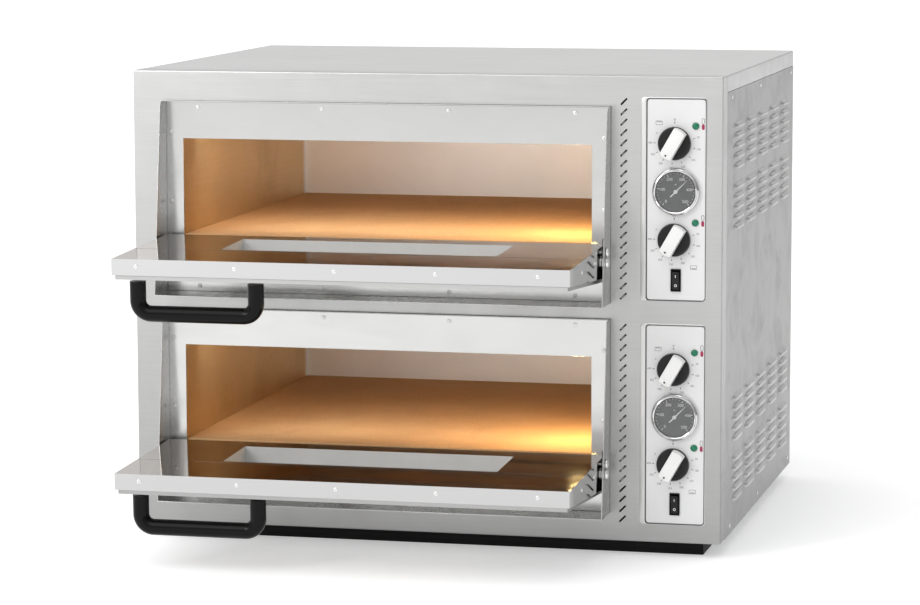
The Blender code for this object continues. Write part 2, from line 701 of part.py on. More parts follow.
# ---- controls ----
def control_plate(deck, centre):
    """Rounded plate with openings for shafts, gauge, lamps and switch."""
    bm = bmesh.new()
    add_prism(bm, rounded_outline(PLATE_WIDTH / 2, PLATE_HEIGHT / 2, PLATE_CORNER),
              lambda a, b: (PLATE_X + a, PLATE_Y, centre + b), (0, 1, 0), PLATE_THICK)
    plate = add_mesh(deck + "_control_plate", bm, "control_foil")
    cut = bmesh.new()

    def bore(x, height, radius, segments):
        add_rod(cut, (x, PLATE_Y - 0.004, centre + height), (x, PLATE_Y + 0.006, centre + height),
                radius, segments)

    bore(PLATE_X, GAUGE_HEIGHT, GAUGE_BODY + GAP, 24)
    for height in KNOB_HEIGHTS.values():
        bore(KNOB_X, height, SHAFT_RADIUS + 0.001, 12)
        bore(PILOT_X, height + PILOT_LIFT, PILOT_BODY + GAP, 12)
    half_a = SWITCH_WIDTH / 2 - 0.001 + GAP
    half_b = SWITCH_LENGTH / 2 - 0.001 + GAP
    middle = centre + SWITCH_HEIGHT
    add_box(cut, (PLATE_X - half_a, PLATE_Y - 0.004, middle - half_b),
            (PLATE_X + half_a, PLATE_Y + 0.006, middle + half_b))
    boolean(plate, add_cutter(deck + "_plate_openings", cut))


def thermostat(deck, centre, place, height):
    """Capillary thermostat behind the plate with the shaft that carries its knob."""
    z = centre + height
    behind = PLATE_Y + PLATE_THICK + GAP
    body = box_part(deck + "_" + place + "_thermostat", (KNOB_X - 0.020, behind, z - 0.018),
                    (KNOB_X + 0.020, behind + 0.030, z + 0.018), "heater_alloy")
    shaft = bmesh.new()
    add_rod(shaft, (KNOB_X, behind + 0.004, z), (KNOB_X, PLATE_Y - 0.014, z), SHAFT_RADIUS, 12)
    boolean(body, add_cutter(deck + "_" + place + "_shaft", shaft), "UNION")


def knob(deck, centre, place, height):
    """Round skirt with a raised grip bar; the bar's marked end is the pointer."""
    back = -KNOB_STAND
    skirt = back - 0.008
    bm = bmesh.new()
    add_rod(bm, (0, back, 0), (0, skirt, 0), KNOB_RADIUS, 28, KNOB_RADIUS - 0.0015)
    body = add_mesh(deck + "_" + place + "_heat_knob", bm, "white_plastic")
    grip = bmesh.new()
    outline = [(-0.0100, skirt + 0.002), (0.0100, skirt + 0.002), (0.0085, -KNOB_DEPTH), (-0.0085, -KNOB_DEPTH)]
    length = 2 * KNOB_RADIUS - 0.004
    add_prism(grip, outline, lambda a, b: (a, b, -length / 2), (0, 0, 1), length)
    bar = add_cutter(deck + "_" + place + "_grip", grip)
    boolean(body, bar, "UNION")
    bore = bmesh.new()
    add_rod(bore, (0, back + 0.002, 0), (0, PLATE_Y - FRONT_Y - 0.0165, 0), SHAFT_RADIUS + 0.0004, 12)
    hole = add_cutter(deck + "_" + place + "_knob_bore", bore)
    boolean(body, hole)
    for obj in (body, bar, hole):
        obj.location = (KNOB_X, PLATE_Y, centre + height)
        obj.rotation_euler.y = KNOB_TURN


def gauge(deck, centre):
    """Dial thermometer: turned case with bezel and sunk face, and its needle."""
    z = centre + GAUGE_HEIGHT
    rim = GAUGE_RADIUS
    dial = -GAUGE_PROUD + 0.0045
    profile = [(0.0, dial - 0.0008), (0.0014, dial - 0.0008), (0.0014, dial), (rim - 0.006, dial),
               (rim - 0.0055, -GAUGE_PROUD + 0.001), (rim - 0.004, -GAUGE_PROUD),
               (rim - 0.0015, -GAUGE_PROUD + 0.0015), (rim, -GAUGE_PROUD + 0.005), (rim, -GAP),
               (GAUGE_BODY, -GAP), (GAUGE_BODY, 0.022), (0.0, 0.022)]
    turned(deck + "_thermometer_case", profile, "gauge_face", (PLATE_X, PLATE_Y, z))
    bm = bmesh.new()
    add_rod(bm, (0, 0, 0), (0, -0.0012, 0), 0.0030, 16)
    needle = add_mesh(deck + "_thermometer_needle", bm, "white_plastic")
    hand = bmesh.new()
    outline = [(-0.0008, -0.011), (0.0008, -0.011), (0.0010, 0.0), (0.0002, 0.024), (-0.0002, 0.024),
               (-0.0010, 0.0)]
    add_prism(hand, outline, lambda a, b: (a, -0.0010, b), (0, 1, 0), 0.0007)
    blade = add_cutter(deck + "_needle_blade", hand)
    boolean(needle, blade, "UNION")
    for obj in (needle, blade):
        obj.location = (PLATE_X, PLATE_Y + dial - 0.0008 - GAP, z)
        obj.rotation_euler.y = NEEDLE_TURN


def pilot(deck, centre, place, height):
    """Round indicator lens."""
    profile = [(0.0, -0.0035), (0.0035, -0.0030), (PILOT_RADIUS, -0.0010), (PILOT_RADIUS, -GAP),
               (PILOT_BODY, -GAP), (PILOT_BODY, 0.014), (0.0, 0.014)]
    turned(deck + "_" + place + "_pilot_lamp", profile, "green_lens",
           (PILOT_X, PLATE_Y, centre + height + PILOT_LIFT), segments=16)


def switch(deck, centre):
    """Rocker switch: housing with a well, and the rocker that tilts in it."""
    z = centre + SWITCH_HEIGHT
    half_a, half_b = SWITCH_WIDTH / 2, SWITCH_LENGTH / 2
    bm = bmesh.new()
    add_box(bm, (-half_a, -0.0022, -half_b), (half_a, -GAP, half_b))
    housing = add_mesh(deck + "_switch_housing", bm, "black_plastic")
    body = bmesh.new()
    add_box(body, (-half_a + 0.001, -0.001, -half_b + 0.001), (half_a - 0.001, 0.020, half_b - 0.001))
    core = add_cutter(deck + "_switch_core", body)
    boolean(housing, core, "UNION")
    well = bmesh.new()
    add_box(well, (-half_a + 0.0018, -0.010, -half_b + 0.0022), (half_a - 0.0018, 0.008, half_b - 0.0022))
    pit = add_cutter(deck + "_switch_well", well)
    boolean(housing, pit)
    for obj in (housing, core, pit):
        obj.location = (PLATE_X, PLATE_Y, z)

    half_u = half_b - 0.0032
    outline = [(half_u, -0.0040), (half_u - 0.0004, 0.0020), (0.004, 0.0050), (-0.004, 0.0050),
               (-half_u + 0.0004, 0.0020), (-half_u, -0.0040), (0.0, -0.0028)]
    rocker = bmesh.new()
    add_prism(rocker, outline, lambda u, n: (-half_a + 0.0024, n, u), (1, 0, 0), SWITCH_WIDTH - 0.0048)
    paddle = add_mesh(deck + "_power_rocker", rocker, "black_plastic")
    paddle.location = (PLATE_X, PLATE_Y, z)
    paddle.rotation_euler.x = ROCKER_TILT


def controls(deck, centre):
    """Everything on one control plate."""
    control_plate(deck, centre)
    for place, height in KNOB_HEIGHTS.items():
        thermostat(deck, centre, place, height)
        knob(deck, centre, place, height)
        pilot(deck, centre, place, height)
    gauge(deck, centre)
    switch(deck, centre)


clear_scene()
PARTS = new_collection("pizza_oven")
CUTTERS = new_collection("cutters")
casing_front()
casing_covers()
casing_sides()
cable_gland()
for deck_name, deck_base in DECKS.items():
    collar(deck_name, deck_base)
    mouth_frame(deck_name, deck_base)
    chamber(deck_name, deck_base)
    for heater_place, heater_height in HEATER_HEIGHTS.items():
        heater(deck_name, deck_base, heater_place, heater_height)
    lamp(deck_name, deck_base)
    door(deck_name, deck_base)
    controls(deck_name, PLATE_CENTRES[deck_name])
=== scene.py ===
"""Looks of the two-deck pizza oven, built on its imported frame. Metres, +Z up, front towards -Y."""

import math

import bmesh
import bpy
from mathutils import Matrix, Vector


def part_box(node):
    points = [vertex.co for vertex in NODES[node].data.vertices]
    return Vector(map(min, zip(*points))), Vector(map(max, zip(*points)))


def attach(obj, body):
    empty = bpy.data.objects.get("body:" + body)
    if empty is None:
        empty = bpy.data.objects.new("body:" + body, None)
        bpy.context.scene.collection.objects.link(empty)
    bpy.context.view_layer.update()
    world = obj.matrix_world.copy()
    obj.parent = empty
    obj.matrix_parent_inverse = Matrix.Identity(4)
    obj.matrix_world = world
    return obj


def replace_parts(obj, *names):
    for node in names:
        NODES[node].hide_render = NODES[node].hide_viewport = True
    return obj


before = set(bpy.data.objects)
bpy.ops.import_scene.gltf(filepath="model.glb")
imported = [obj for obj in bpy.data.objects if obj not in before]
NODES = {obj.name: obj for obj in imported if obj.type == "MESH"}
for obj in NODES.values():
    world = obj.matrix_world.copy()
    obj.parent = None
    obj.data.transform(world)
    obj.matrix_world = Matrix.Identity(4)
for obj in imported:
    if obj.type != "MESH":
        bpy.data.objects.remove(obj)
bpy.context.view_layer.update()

# ---- places read from the frame ----
CASE_LOW, CASE_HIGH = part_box("casing_front_panel")
FRONT = CASE_LOW.y
SIDE = CASE_HIGH.x
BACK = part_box("casing_back_panel")[1].y
LID_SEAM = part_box("casing_lid")[0].z
DECKS = ("lower", "upper")
HANDS = (("left", -1), ("right", 1))
DOOR_SWING = math.radians(92.0)

# ---- details that stand on those places ----
SCREW_RADIUS = 0.0032
SCREW_HEIGHT = 0.0014
RIVET_RADIUS = 0.0028
FRAME_SCREWS_X = (-0.348, -0.1545, 0.040, 0.231)
FRAME_SCREWS_SIDE = (0.243, 0.1375)
EDGE_RIVETS_X = tuple(-0.300 + 0.1478 * i for i in range(5))
EDGE_RIVETS_LEVEL = 0.0135
TRIM_RAISE = 0.00015
SKIN_INSET = 0.004
LOUVRE_COLUMNS = 5
LOUVRE_ROWS = 5
LOUVRE_FIRST_Y = 0.149
LOUVRE_COLUMN_PITCH = 0.119
LOUVRE_ROW_PITCH = 0.0152
LOUVRE_BLOCK_TOPS = (0.2025, 0.1110, 0.6120, 0.5210)
LOUVRE_LENGTH = 0.078
LOUVRE_HEIGHT = 0.0085
LOUVRE_PROUD = 0.0045
VENT_X = 0.3035
VENT_COUNT = 20
VENT_PITCH = 0.01507
VENT_TOPS = {"lower": 0.3198, "upper": 0.6524}
OPEN_VENTS = {"lower": (16, 17, 18, 19), "upper": (0,)}
KNOB_FIRST, KNOB_STEP, KNOB_MARKS = 75.0, 28.0, 8
GAUGE_FIRST, GAUGE_STEP, GAUGE_MARKS = -135.0, 54.0, 6
KNOB_TURN, ROCKER_TILT = -210.0, 8.0
GRIP_BEND = 0.019
# Spans of black blocks in the gap beside each hinge pin: painted shadow.
GAP_SHADOW_SPANS = {"left": ((-0.034, -0.0105),), "right": ((-0.034, -0.0105), (0.0200, 0.0360))}
PRINT_LOW, PRINT_HIGH, BOLD_HIGH, TEXT_THICK = -0.00005, 0.0001, 0.00012, 0.00006

# ---- camera: the long lens and height of a catalogue picture ----
CAMERA_PLACE = (1.2478, -5.3360, 1.0228)
CAMERA_YAW, CAMERA_DROP, CAMERA_ROLL = 13.470, 7.253, -0.147
CAMERA_LENS = 135.6
FLOOR_GLOW = 0.36
FILL_POWER = {"lower": 0.62, "upper": 0.95}


# ---- node-tree helpers ----
LOOKS = {}


def blank(name, roughness, metallic=0.0):
    """A new material, kept in LOOKS; returns its tree and its Principled shader."""
    mat = bpy.data.materials.new(name)
    mat.use_nodes = True
    shader = mat.node_tree.nodes["Principled BSDF"]
    shader.inputs["Roughness"].default_value = roughness
    shader.inputs["Metallic"].default_value = metallic
    LOOKS[name] = mat
    return mat.node_tree, shader


def add(tree, kind, inputs=None, **settings):
    """Add a node; an input is a socket to link or a plain value."""
    made = tree.nodes.new("ShaderNode" + kind)
    for key, value in settings.items():
        setattr(made, key, value)
    for key, value in (inputs or {}).items():
        if isinstance(value, bpy.types.NodeSocket):
            tree.links.new(value, made.inputs[key])
        else:
            made.inputs[key].default_value = value
    return made


def ramp(tree, factor, *stops):
    """Colour ramp through (position, colour) stops."""
    made = add(tree, "ValToRGB", {"Fac": factor})
    elements = made.color_ramp.elements
    while len(elements) < len(stops):
        elements.new(0.5)
    for element, (position, colour) in zip(elements, stops):
        element.position = position
        element.color = (*colour, 1.0)
    return made.outputs["Color"]


def spread(tree, value, low, high, out_low, out_high):
    """Map a value from one range to another."""
    return add(tree, "MapRange", {"Value": value, "From Min": low, "From Max": high,
                                  "To Min": out_low, "To Max": out_high}).outputs["Result"]


def coordinate(tree, axis, kind="Object"):
    """One axis of a texture coordinate."""
    place = add(tree, "TexCoord").outputs[kind]
    return add(tree, "SeparateXYZ", {"Vector": place}).outputs[axis]


def noise(tree, scale, detail=3.0, roughness=0.6, distortion=0.0):
    """Noise in object space; scale is a number or one number for each axis."""
    place = add(tree, "TexCoord").outputs["Object"]
    axes = scale if isinstance(scale, tuple) else (scale, scale, scale)
    stretched = add(tree, "Mapping", {"Vector": place, "Scale": axes}).outputs["Vector"]
    return add(tree, "TexNoise", {"Vector": stretched, "Scale": 1.0, "Detail": detail,
                                  "Roughness": roughness, "Distortion": distortion}).outputs["Fac"]


def math_of(tree, operation, a, b):
    """One Math node."""
    return add(tree, "Math", {0: a, 1: b}, operation=operation).outputs[0]


def blend_colours(tree, factor, a, b, blend_type="MIX"):
    """Mix two colours by a factor."""
    made = add(tree, "MixRGB", {"Fac": factor, "Color1": a, "Color2": b}, blend_type=blend_type)
    return made.outputs["Color"]


def edges(tree, radius):
    """One on edges, zero on flat faces."""
    rounded = add(tree, "Bevel", {"Radius": radius}, samples=4).outputs["Normal"]
    true = add(tree, "NewGeometry").outputs["Normal"]
    match = add(tree, "VectorMath", {0: rounded, 1: true}, operation="DOT_PRODUCT").outputs["Value"]
    return spread(tree, match, 0.99, 0.80, 0.0, 1.0)


def surface(tree, shader, colour, roughness=None, relief=None):
    """Link a shader's colour, its roughness and a relief of (strength, distance, height)."""
    tree.links.new(colour, shader.inputs["Base Color"])
    if roughness:
        tree.links.new(roughness, shader.inputs["Roughness"])
    if relief:
        bump = add(tree, "Bump", dict(zip(("Strength", "Distance", "Height"), relief)))
        tree.links.new(bump.outputs["Normal"], shader.inputs["Normal"])


def scaled(colour, factor):
    """A colour made lighter or darker."""
    return tuple(min(1.0, channel * factor) for channel in colour)


def grey(level):
    """A neutral colour."""
    return (level, level, level)


# ---- materials ----
def metal(name, colour, roughness, grain, contrast=0.10, bump=0.05, edge_wear_and_highlight=0.25, cloud=4.0, side_shade=1.0,
          shade=1.0):
    """Brushed sheet; painted shade on sideways faces and low down, edges lighter by wear and a painted
    highlight.
    """
    tree, shader = blank(name, roughness, 1.0)
    lines = noise(tree, grain, 4.0, 0.7)
    clouds = noise(tree, cloud, 3.0, 0.55)
    mixed = math_of(tree, "ADD", math_of(tree, "MULTIPLY", lines, 0.6),
                    math_of(tree, "MULTIPLY", clouds, 0.4))
    base = ramp(tree, mixed, (0.30, scaled(colour, 1.0 - contrast)),
                (0.70, scaled(colour, 1.0 + contrast * 0.5)))
    # Painted shade: darker towards the bottom of the casing.
    if shade < 1.0:
        level = spread(tree, coordinate(tree, "Z"), CASE_LOW.z, CASE_HIGH.z, 0.0, 1.0)
        darker = ramp(tree, level, (0.0, grey(shade)), (1.0, grey(1.0)))
        base = blend_colours(tree, 1.0, base, darker, "MULTIPLY")
    # Painted shade: faces that look sideways are darker.
    if side_shade < 1.0:
        normal = add(tree, "NewGeometry").outputs["Normal"]
        facing_x = add(tree, "SeparateXYZ", {"Vector": normal}).outputs["X"]
        sideways = spread(tree, math_of(tree, "MULTIPLY", facing_x, facing_x), 0.05, 0.60, 0.0, 1.0)
        base = blend_colours(tree, sideways, base, (*grey(side_shade), 1.0), "MULTIPLY")
    # Edges lighter: partly wear, partly painted highlight.
    edges_lightened = blend_colours(tree, math_of(tree, "MULTIPLY", edges(tree, 0.0009), edge_wear_and_highlight), base,
                         (*scaled(colour, 1.25), 1.0))
    smears = noise(tree, 11.0, 2.0, 0.7, 1.5)
    rough = math_of(tree, "ADD", spread(tree, lines, 0.2, 0.8, roughness * 0.80, roughness * 1.15),
                    spread(tree, smears, 0.45, 0.75, 0.0, roughness * 0.25))
    surface(tree, shader, edges_lightened, rough, (bump, 0.001, lines))


def polished(name, colour, roughness, wave, haze, rim=None):
    """Mirror-finished sheet: waviness, haze and scratches; faces that don't look up take the rim's lighter
    grey, a painted highlight.
    """
    tree, shader = blank(name, roughness, 1.0)
    broad = noise(tree, 9.0, 2.0, 0.5)
    fine = noise(tree, (30.0, 900.0, 900.0), 3.0, 0.7)
    base = ramp(tree, broad, (0.3, scaled(colour, 0.96)), (0.7, colour))
    # Painted highlight: faces that don't look up are a lighter grey.
    if rim:
        up = coordinate(tree, "Z", "Normal")
        base = blend_colours(tree, spread(tree, up, 0.5, 0.9, 0.0, 1.0), (*rim, 1.0), base)
    wiped = noise(tree, (5.0, 14.0, 14.0), 3.0, 0.6, 0.8)
    rough = math_of(tree, "ADD", spread(tree, wiped, 0.35, 0.75, roughness, roughness + haze),
                    spread(tree, fine, 0.4, 0.8, 0.0, 0.03))
    height = math_of(tree, "ADD", broad, math_of(tree, "MULTIPLY", fine, 0.02))
    surface(tree, shader, base, rough, (wave, 0.02, height))


def chamber_sheet():
    """Heat-tinted oven liner: straw and bronze clouds with a satin sheen, paler at the back."""
    tree, shader = blank("chamber_sheet", 0.42, 0.75)
    back = spread(tree, coordinate(tree, "Y"), BACK - 0.075, BACK - 0.060, 0.0, 1.0)
    clouds = noise(tree, 5.0, 4.0, 0.6, 0.6)
    tint = ramp(tree, clouds, (0.25, (0.47, 0.31, 0.15)), (0.55, (0.62, 0.43, 0.22)),
                (0.80, (0.56, 0.40, 0.22)))
    pale = ramp(tree, clouds, (0.30, (0.70, 0.70, 0.72)), (0.70, (0.80, 0.80, 0.82)))
    lines = noise(tree, (300.0, 12.0, 300.0), 3.0, 0.6)
    surface(tree, shader, blend_colours(tree, back, tint, pale),
            spread(tree, lines, 0.2, 0.8, 0.36, 0.52), (0.04, 0.001, lines))


def firebrick():
    """Refractory slab: sandy grain, small pits, scorch clouds and a dusting of flour."""
    tree, shader = blank("firebrick", 0.88)
    clouds = noise(tree, 3.5, 4.0, 0.6, 0.4)
    base = ramp(tree, clouds, (0.25, (0.52, 0.29, 0.12)), (0.55, (0.66, 0.41, 0.20)),
                (0.80, (0.74, 0.49, 0.26)))
    sand = noise(tree, 420.0, 2.0, 0.8)
    speckle = ramp(tree, sand, (0.30, (0.34, 0.17, 0.07)), (0.65, (0.86, 0.58, 0.32)))
    grained = blend_colours(tree, 0.35, base, speckle)
    scorch = spread(tree, noise(tree, 6.5, 5.0, 0.65, 0.9), 0.62, 0.80, 0.0, 0.35)
    dark = blend_colours(tree, scorch, grained, (0.23, 0.11, 0.05, 1.0))
    flour = spread(tree, noise(tree, 60.0, 5.0, 0.75), 0.66, 0.80, 0.0, 0.35)
    place = add(tree, "TexCoord").outputs["Object"]
    pits = add(tree, "TexVoronoi", {"Scale": 260.0, "Vector": place}).outputs[0]
    height = math_of(tree, "ADD", spread(tree, pits, 0.0, 0.25, 0.0, 1.0), sand)
    surface(tree, shader, blend_colours(tree, flour, dark, (0.85, 0.76, 0.62, 1.0)),
            relief=(0.25, 0.0008, height))


def moulded(name, colour, roughness, grain_scale, bump, fading, coat=0.0, gloss=0.5):
    """Moulded or painted surface: fine texture, slight fading and rubbed edges."""
    tree, shader = blank(name, roughness)
    fade = noise(tree, 22.0, 3.0, 0.6)
    grain = noise(tree, grain_scale, 2.0, 0.6)
    base = ramp(tree, fade, (0.3, scaled(colour, 1.0 - fading)), (0.7, scaled(colour, 1.0 + fading)))
    rubbed = tuple(min(1.0, channel * 1.15 + 0.01) for channel in colour)
    edges_lightened = blend_colours(tree, math_of(tree, "MULTIPLY", edges(tree, 0.0006), 0.5), base, (*rubbed, 1.0))
    rough = spread(tree, grain, 0.2, 0.8, roughness * 0.85, roughness * 1.2)
    surface(tree, shader, edges_lightened, rough, (bump, 0.0003, grain))
    shader.inputs["Specular IOR Level"].default_value = gloss
    shader.inputs["Coat Weight"].default_value = coat
    shader.inputs["Coat Roughness"].default_value = 0.08


def wool():
    """Yellowish mineral wool with matted fibres."""
    tree, shader = blank("wool", 1.0)
    fibres = noise(tree, (60.0, 400.0, 400.0), 5.0, 0.8, 2.0)
    surface(tree, shader, ramp(tree, fibres, (0.3, (0.36, 0.30, 0.16)), (0.7, (0.72, 0.66, 0.46))),
            relief=(0.8, 0.002, fibres))


def glass(name, tint, roughness):
    """Clear glass with faint wiping marks."""
    tree, shader = blank(name, roughness)
    marks = noise(tree, (14.0, 40.0, 40.0), 3.0, 0.6, 0.7)
    surface(tree, shader, ramp(tree, marks, (0.3, scaled(tint, 0.97)), (0.7, tint)),
            spread(tree, marks, 0.4, 0.8, roughness, roughness + 0.05))
    shader.inputs["Transmission Weight"].default_value = 1.0
    shader.inputs["IOR"].default_value = 1.47


def glowing(name, colour, glow, strength):
    """Ribbed lens or bulb glass with a soft inner light."""
    tree, shader = blank(name, 0.18)
    ribs = noise(tree, 700.0, 2.0, 0.5)
    surface(tree, shader, ramp(tree, ribs, (0.3, scaled(colour, 0.8)), (0.7, scaled(colour, 1.15))),
            relief=(0.15, 0.0004, ribs))
    shader.inputs["Emission Color"].default_value = (*glow, 1.0)
    shader.inputs["Emission Strength"].default_value = strength


STEEL = (0.50, 0.50, 0.495)
GRAIN_X, GRAIN_Y, GRAIN_Z = (9.0, 700.0, 700.0), (700.0, 9.0, 700.0), (700.0, 700.0, 9.0)
# Front sheet and door skins: painted shade low down and on faces that look sideways.
metal("front_steel", scaled(STEEL, 1.16), 0.34, GRAIN_X, side_shade=0.80, shade=0.66)
# Darker copy of the casing steel: painted shade on the sides and back.
metal("side_steel_painted_shade", scaled(STEEL, 0.68), 0.40, GRAIN_Z, 0.05)
# Lighter copy of the casing steel: painted light on the lid, with painted shade on its sideways faces.
metal("lid_steel_painted_light", scaled(STEEL, 1.35), 0.36, GRAIN_Y, side_shade=0.80)
# Painted shade on the collar's faces that look sideways.
metal("collar_steel", scaled(STEEL, 1.10), 0.27, (700.0, 700.0, 12.0), 0.08, edge_wear_and_highlight=0.0, side_shade=0.90)
metal("pressed_steel", scaled(STEEL, 1.05), 0.30, GRAIN_X, 0.06)
moulded("liner_steel", (0.62, 0.62, 0.61), 0.40, 900.0, 0.03, 0.04)
# Lighter copy of the front steel: painted highlight on the pressed rim.
metal("rim_steel_painted_highlight", scaled(STEEL, 1.30), 0.42, 500.0, 0.04, 0.02, 0.0)
# Lighter copy of the side steel: painted highlight on the pressed hoods.
metal("louvre_steel_painted_highlight", scaled(STEEL, 1.05), 0.36, GRAIN_Z, 0.08, 0.04)
metal("hidden_steel", (0.50, 0.51, 0.52), 0.50, 60.0, 0.25, 0.08, 0.1, 40.0)
polished("mirror_steel", (0.43, 0.39, 0.36), 0.035, 0.010, 0.05, grey(0.52))
polished("frame_steel", (0.60, 0.60, 0.59), 0.16, 0.010, 0.10)
metal("screw_steel", (0.92, 0.92, 0.91), 0.34, 900.0, 0.12, 0.05, 0.5, 90.0)
polished("chrome", grey(0.70), 0.07, 0.004, 0.05)
chamber_sheet()
firebrick()
wool()
metal("element", (0.22, 0.21, 0.20), 0.50, 200.0, 0.30, 0.10, 0.2, 60.0)
glass("pane", (0.90, 0.92, 0.91), 0.02)
glass("dial_glass", grey(0.98), 0.01)
glowing("bulb", (0.95, 0.80, 0.50), (1.0, 0.62, 0.22), 6.0)
moulded("handle_black", grey(0.002), 0.18, 500.0, 0.03, 0.2, gloss=0.16)
moulded("matt_black", grey(0.006), 0.55, 800.0, 0.12, 0.25, gloss=0.12)
moulded("knob_black", grey(0.012), 0.32, 1500.0, 0.05, 0.15, gloss=0.25)
moulded("knob_white", (0.82, 0.82, 0.81), 0.30, 1500.0, 0.03, 0.02, coat=0.2)
moulded("foil", grey(0.74), 0.42, 2500.0, 0.04, 0.015)
moulded("dial_grey", (0.105, 0.11, 0.112), 0.45, 1800.0, 0.05, 0.08)
moulded("dial_white", (0.90, 0.90, 0.89), 0.45, 1800.0, 0.03, 0.03)
moulded("print_grey", (0.10, 0.10, 0.105), 0.50, 1800.0, 0.03, 0.06)
moulded("print_red", (0.34, 0.02, 0.07), 0.45, 1800.0, 0.03, 0.06)
glowing("lens_green", (0.002, 0.14, 0.07), (0.0, 0.30, 0.14), 0.10)


# ---- mesh helpers ----
def new_object(name, data):
    """Put an object with this data in the scene."""
    obj = bpy.data.objects.new(name, data)
    bpy.context.scene.collection.objects.link(obj)
    return obj


def finish_piece(name, bm, look, body, crease=32.0):
    """Turn a bmesh, already in place, into a piece that rides on a body."""
    bmesh.ops.recalc_face_normals(bm, faces=bm.faces)
    mesh = bpy.data.meshes.new(name)
    bm.to_mesh(mesh)
    bm.free()
    mesh.shade_smooth()
    mesh.set_sharp_from_angle(angle=math.radians(crease))
    mesh.materials.append(LOOKS[look])
    obj = new_object(name, mesh)
    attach(obj, body)
    return obj


def bevel(obj, width, segments=2):
    """Break the sharp edges of a piece."""
    rounded = obj.modifiers.new("Edges", "BEVEL")
    rounded.width = width
    rounded.segments = segments
    rounded.limit_method = "ANGLE"
    rounded.angle_limit = math.radians(40.0)
    rounded.use_clamp_overlap = True


def band(bm, low, high):
    """Faces between two rings; a ring of one vertex closes to a point."""
    count = max(len(low), len(high))
    for i in range(count):
        a, b = low[i % len(low)], low[(i + 1) % len(low)]
        c, d = high[(i + 1) % len(high)], high[i % len(high)]
        corners = []
        for vert in (a, b, c, d):
            if vert not in corners:
                corners.append(vert)
        bm.faces.new(corners)


def around(radius, i, count):
    """Point (a, b) on a circle, i of count steps from the first axis."""
    angle = math.tau * i / count
    return radius * math.cos(angle), radius * math.sin(angle)


def add_turned(bm, profile, place, segments=40):
    """Revolve (radius, height) points about the local Z axis; it starts and ends on the axis."""
    rings = []
    for radius, height in profile:
        count = segments if radius > 0.0 else 1
        rings.append([bm.verts.new(place @ Vector((*around(radius, i, segments), height)))
                      for i in range(count)])
    for low, high in zip(rings, rings[1:]):
        band(bm, low, high)


def add_ring(bm, profile, place, segments=48):
    """Revolve a closed (radius, height) outline about the local Z axis."""
    rings = [[bm.verts.new(place @ Vector((*around(radius, i, segments), height))) for i in range(segments)]
             for radius, height in profile]
    for low, high in zip(rings, rings[1:] + rings[:1]):
        band(bm, low, high)


def add_block(bm, low, high, place=Matrix.Identity(4)):
    """A box between two local corners."""
    centre = [(a + b) / 2 for a, b in zip(low, high)]
    size = [b - a for a, b in zip(low, high)]
    matrix = place @ Matrix.Translation(centre) @ Matrix.Diagonal((*size, 1.0))
    bmesh.ops.create_cube(bm, size=1.0, matrix=matrix)


def add_plate(bm, outline, low, high, place):
    """Extrude a closed (a, b) outline along local Z between two heights."""
    rings = [[bm.verts.new(place @ Vector((a, b, level))) for a, b in outline] for level in (low, high)]
    band(bm, rings[0], rings[1])
    bm.faces.new(rings[0])
    bm.faces.new(rings[1])


def add_frame(bm, outer, inner, low, high, place, chamfer=0.0):
    """A closed band between two outlines with as many points as each other."""
    centre = Vector((sum(a for a, b in outer) / len(outer), sum(b for a, b in outer) / len(outer)))
    shrunk = []
    for a, b in outer:
        inward = centre - Vector((a, b))
        shrunk.append((a + math.copysign(chamfer, inward.x), b + math.copysign(chamfer, inward.y)))
    levels = [(outer, low), (shrunk, high), (inner, high), (inner, low)]
    rings = [[bm.verts.new(place @ Vector((a, b, level))) for a, b in ring] for ring, level in levels]
    for ring, following in zip(rings, rings[1:] + rings[:1]):
        band(bm, ring, following)


def sweep(bm, points, radius, across, sides):
    """Round tube along points that lie in one plane; across is that plane's normal."""
    across = Vector(across).normalized()
    path = [Vector(point) for point in points]
    rings = []
    for i, point in enumerate(path):
        ahead = path[min(i + 1, len(path) - 1)] - path[max(i - 1, 0)]
        beside = ahead.normalized().cross(across)
        rings.append([bm.verts.new(point + radius * (across * math.cos(math.tau * k / sides)
                                                     + beside * math.sin(math.tau * k / sides)))
                      for k in range(sides)])
    for low, high in zip(rings, rings[1:]):
        band(bm, low, high)
    bm.faces.new(rings[0])
    bm.faces.new(rings[-1])


def arc(centre, radius, start, end, steps):
    """Points (a, b) on an arc, angles in degrees."""
    angles = [math.radians(start + (end - start) * i / steps) for i in range(steps + 1)]
    return [(centre[0] + radius * math.cos(t), centre[1] + radius * math.sin(t)) for t in angles]


def rounded_box(left, right, bottom, top, radius, steps=5):
    """Corner-rounded rectangle as (a, b) points, anticlockwise."""
    points = []
    for a, b, start in ((right - radius, top - radius, 0), (left + radius, top - radius, 90),
                        (left + radius, bottom + radius, 180), (right - radius, bottom + radius, 270)):
        points += arc((a, b), radius, start, start + 90, steps)
    return points


def inset_box(box, inset, radius, steps=5):
    """Corner-rounded rectangle an inset inside (left, right, bottom, top)."""
    left, right, bottom, top = box
    return rounded_box(left + inset, right - inset, bottom + inset, top - inset, radius, steps)


def middle_of(low, high):
    """Centre (x, y, z) of a box."""
    return tuple((a + b) / 2 for a, b in zip(low, high))


def facing(place, outward, turn=0.0):
    """Matrix that stands local Z along outward at a place."""
    direction = Vector(outward).to_track_quat("Z", "Y").to_matrix().to_4x4()
    return Matrix.Translation(place) @ direction @ Matrix.Rotation(turn, 4, "Z")


def on_front(x, y, z):
    """Local X right, local Y up, local Z towards the viewer of the front."""
    return Matrix.Translation((x, y, z)) @ Matrix.Rotation(math.radians(90.0), 4, "X")


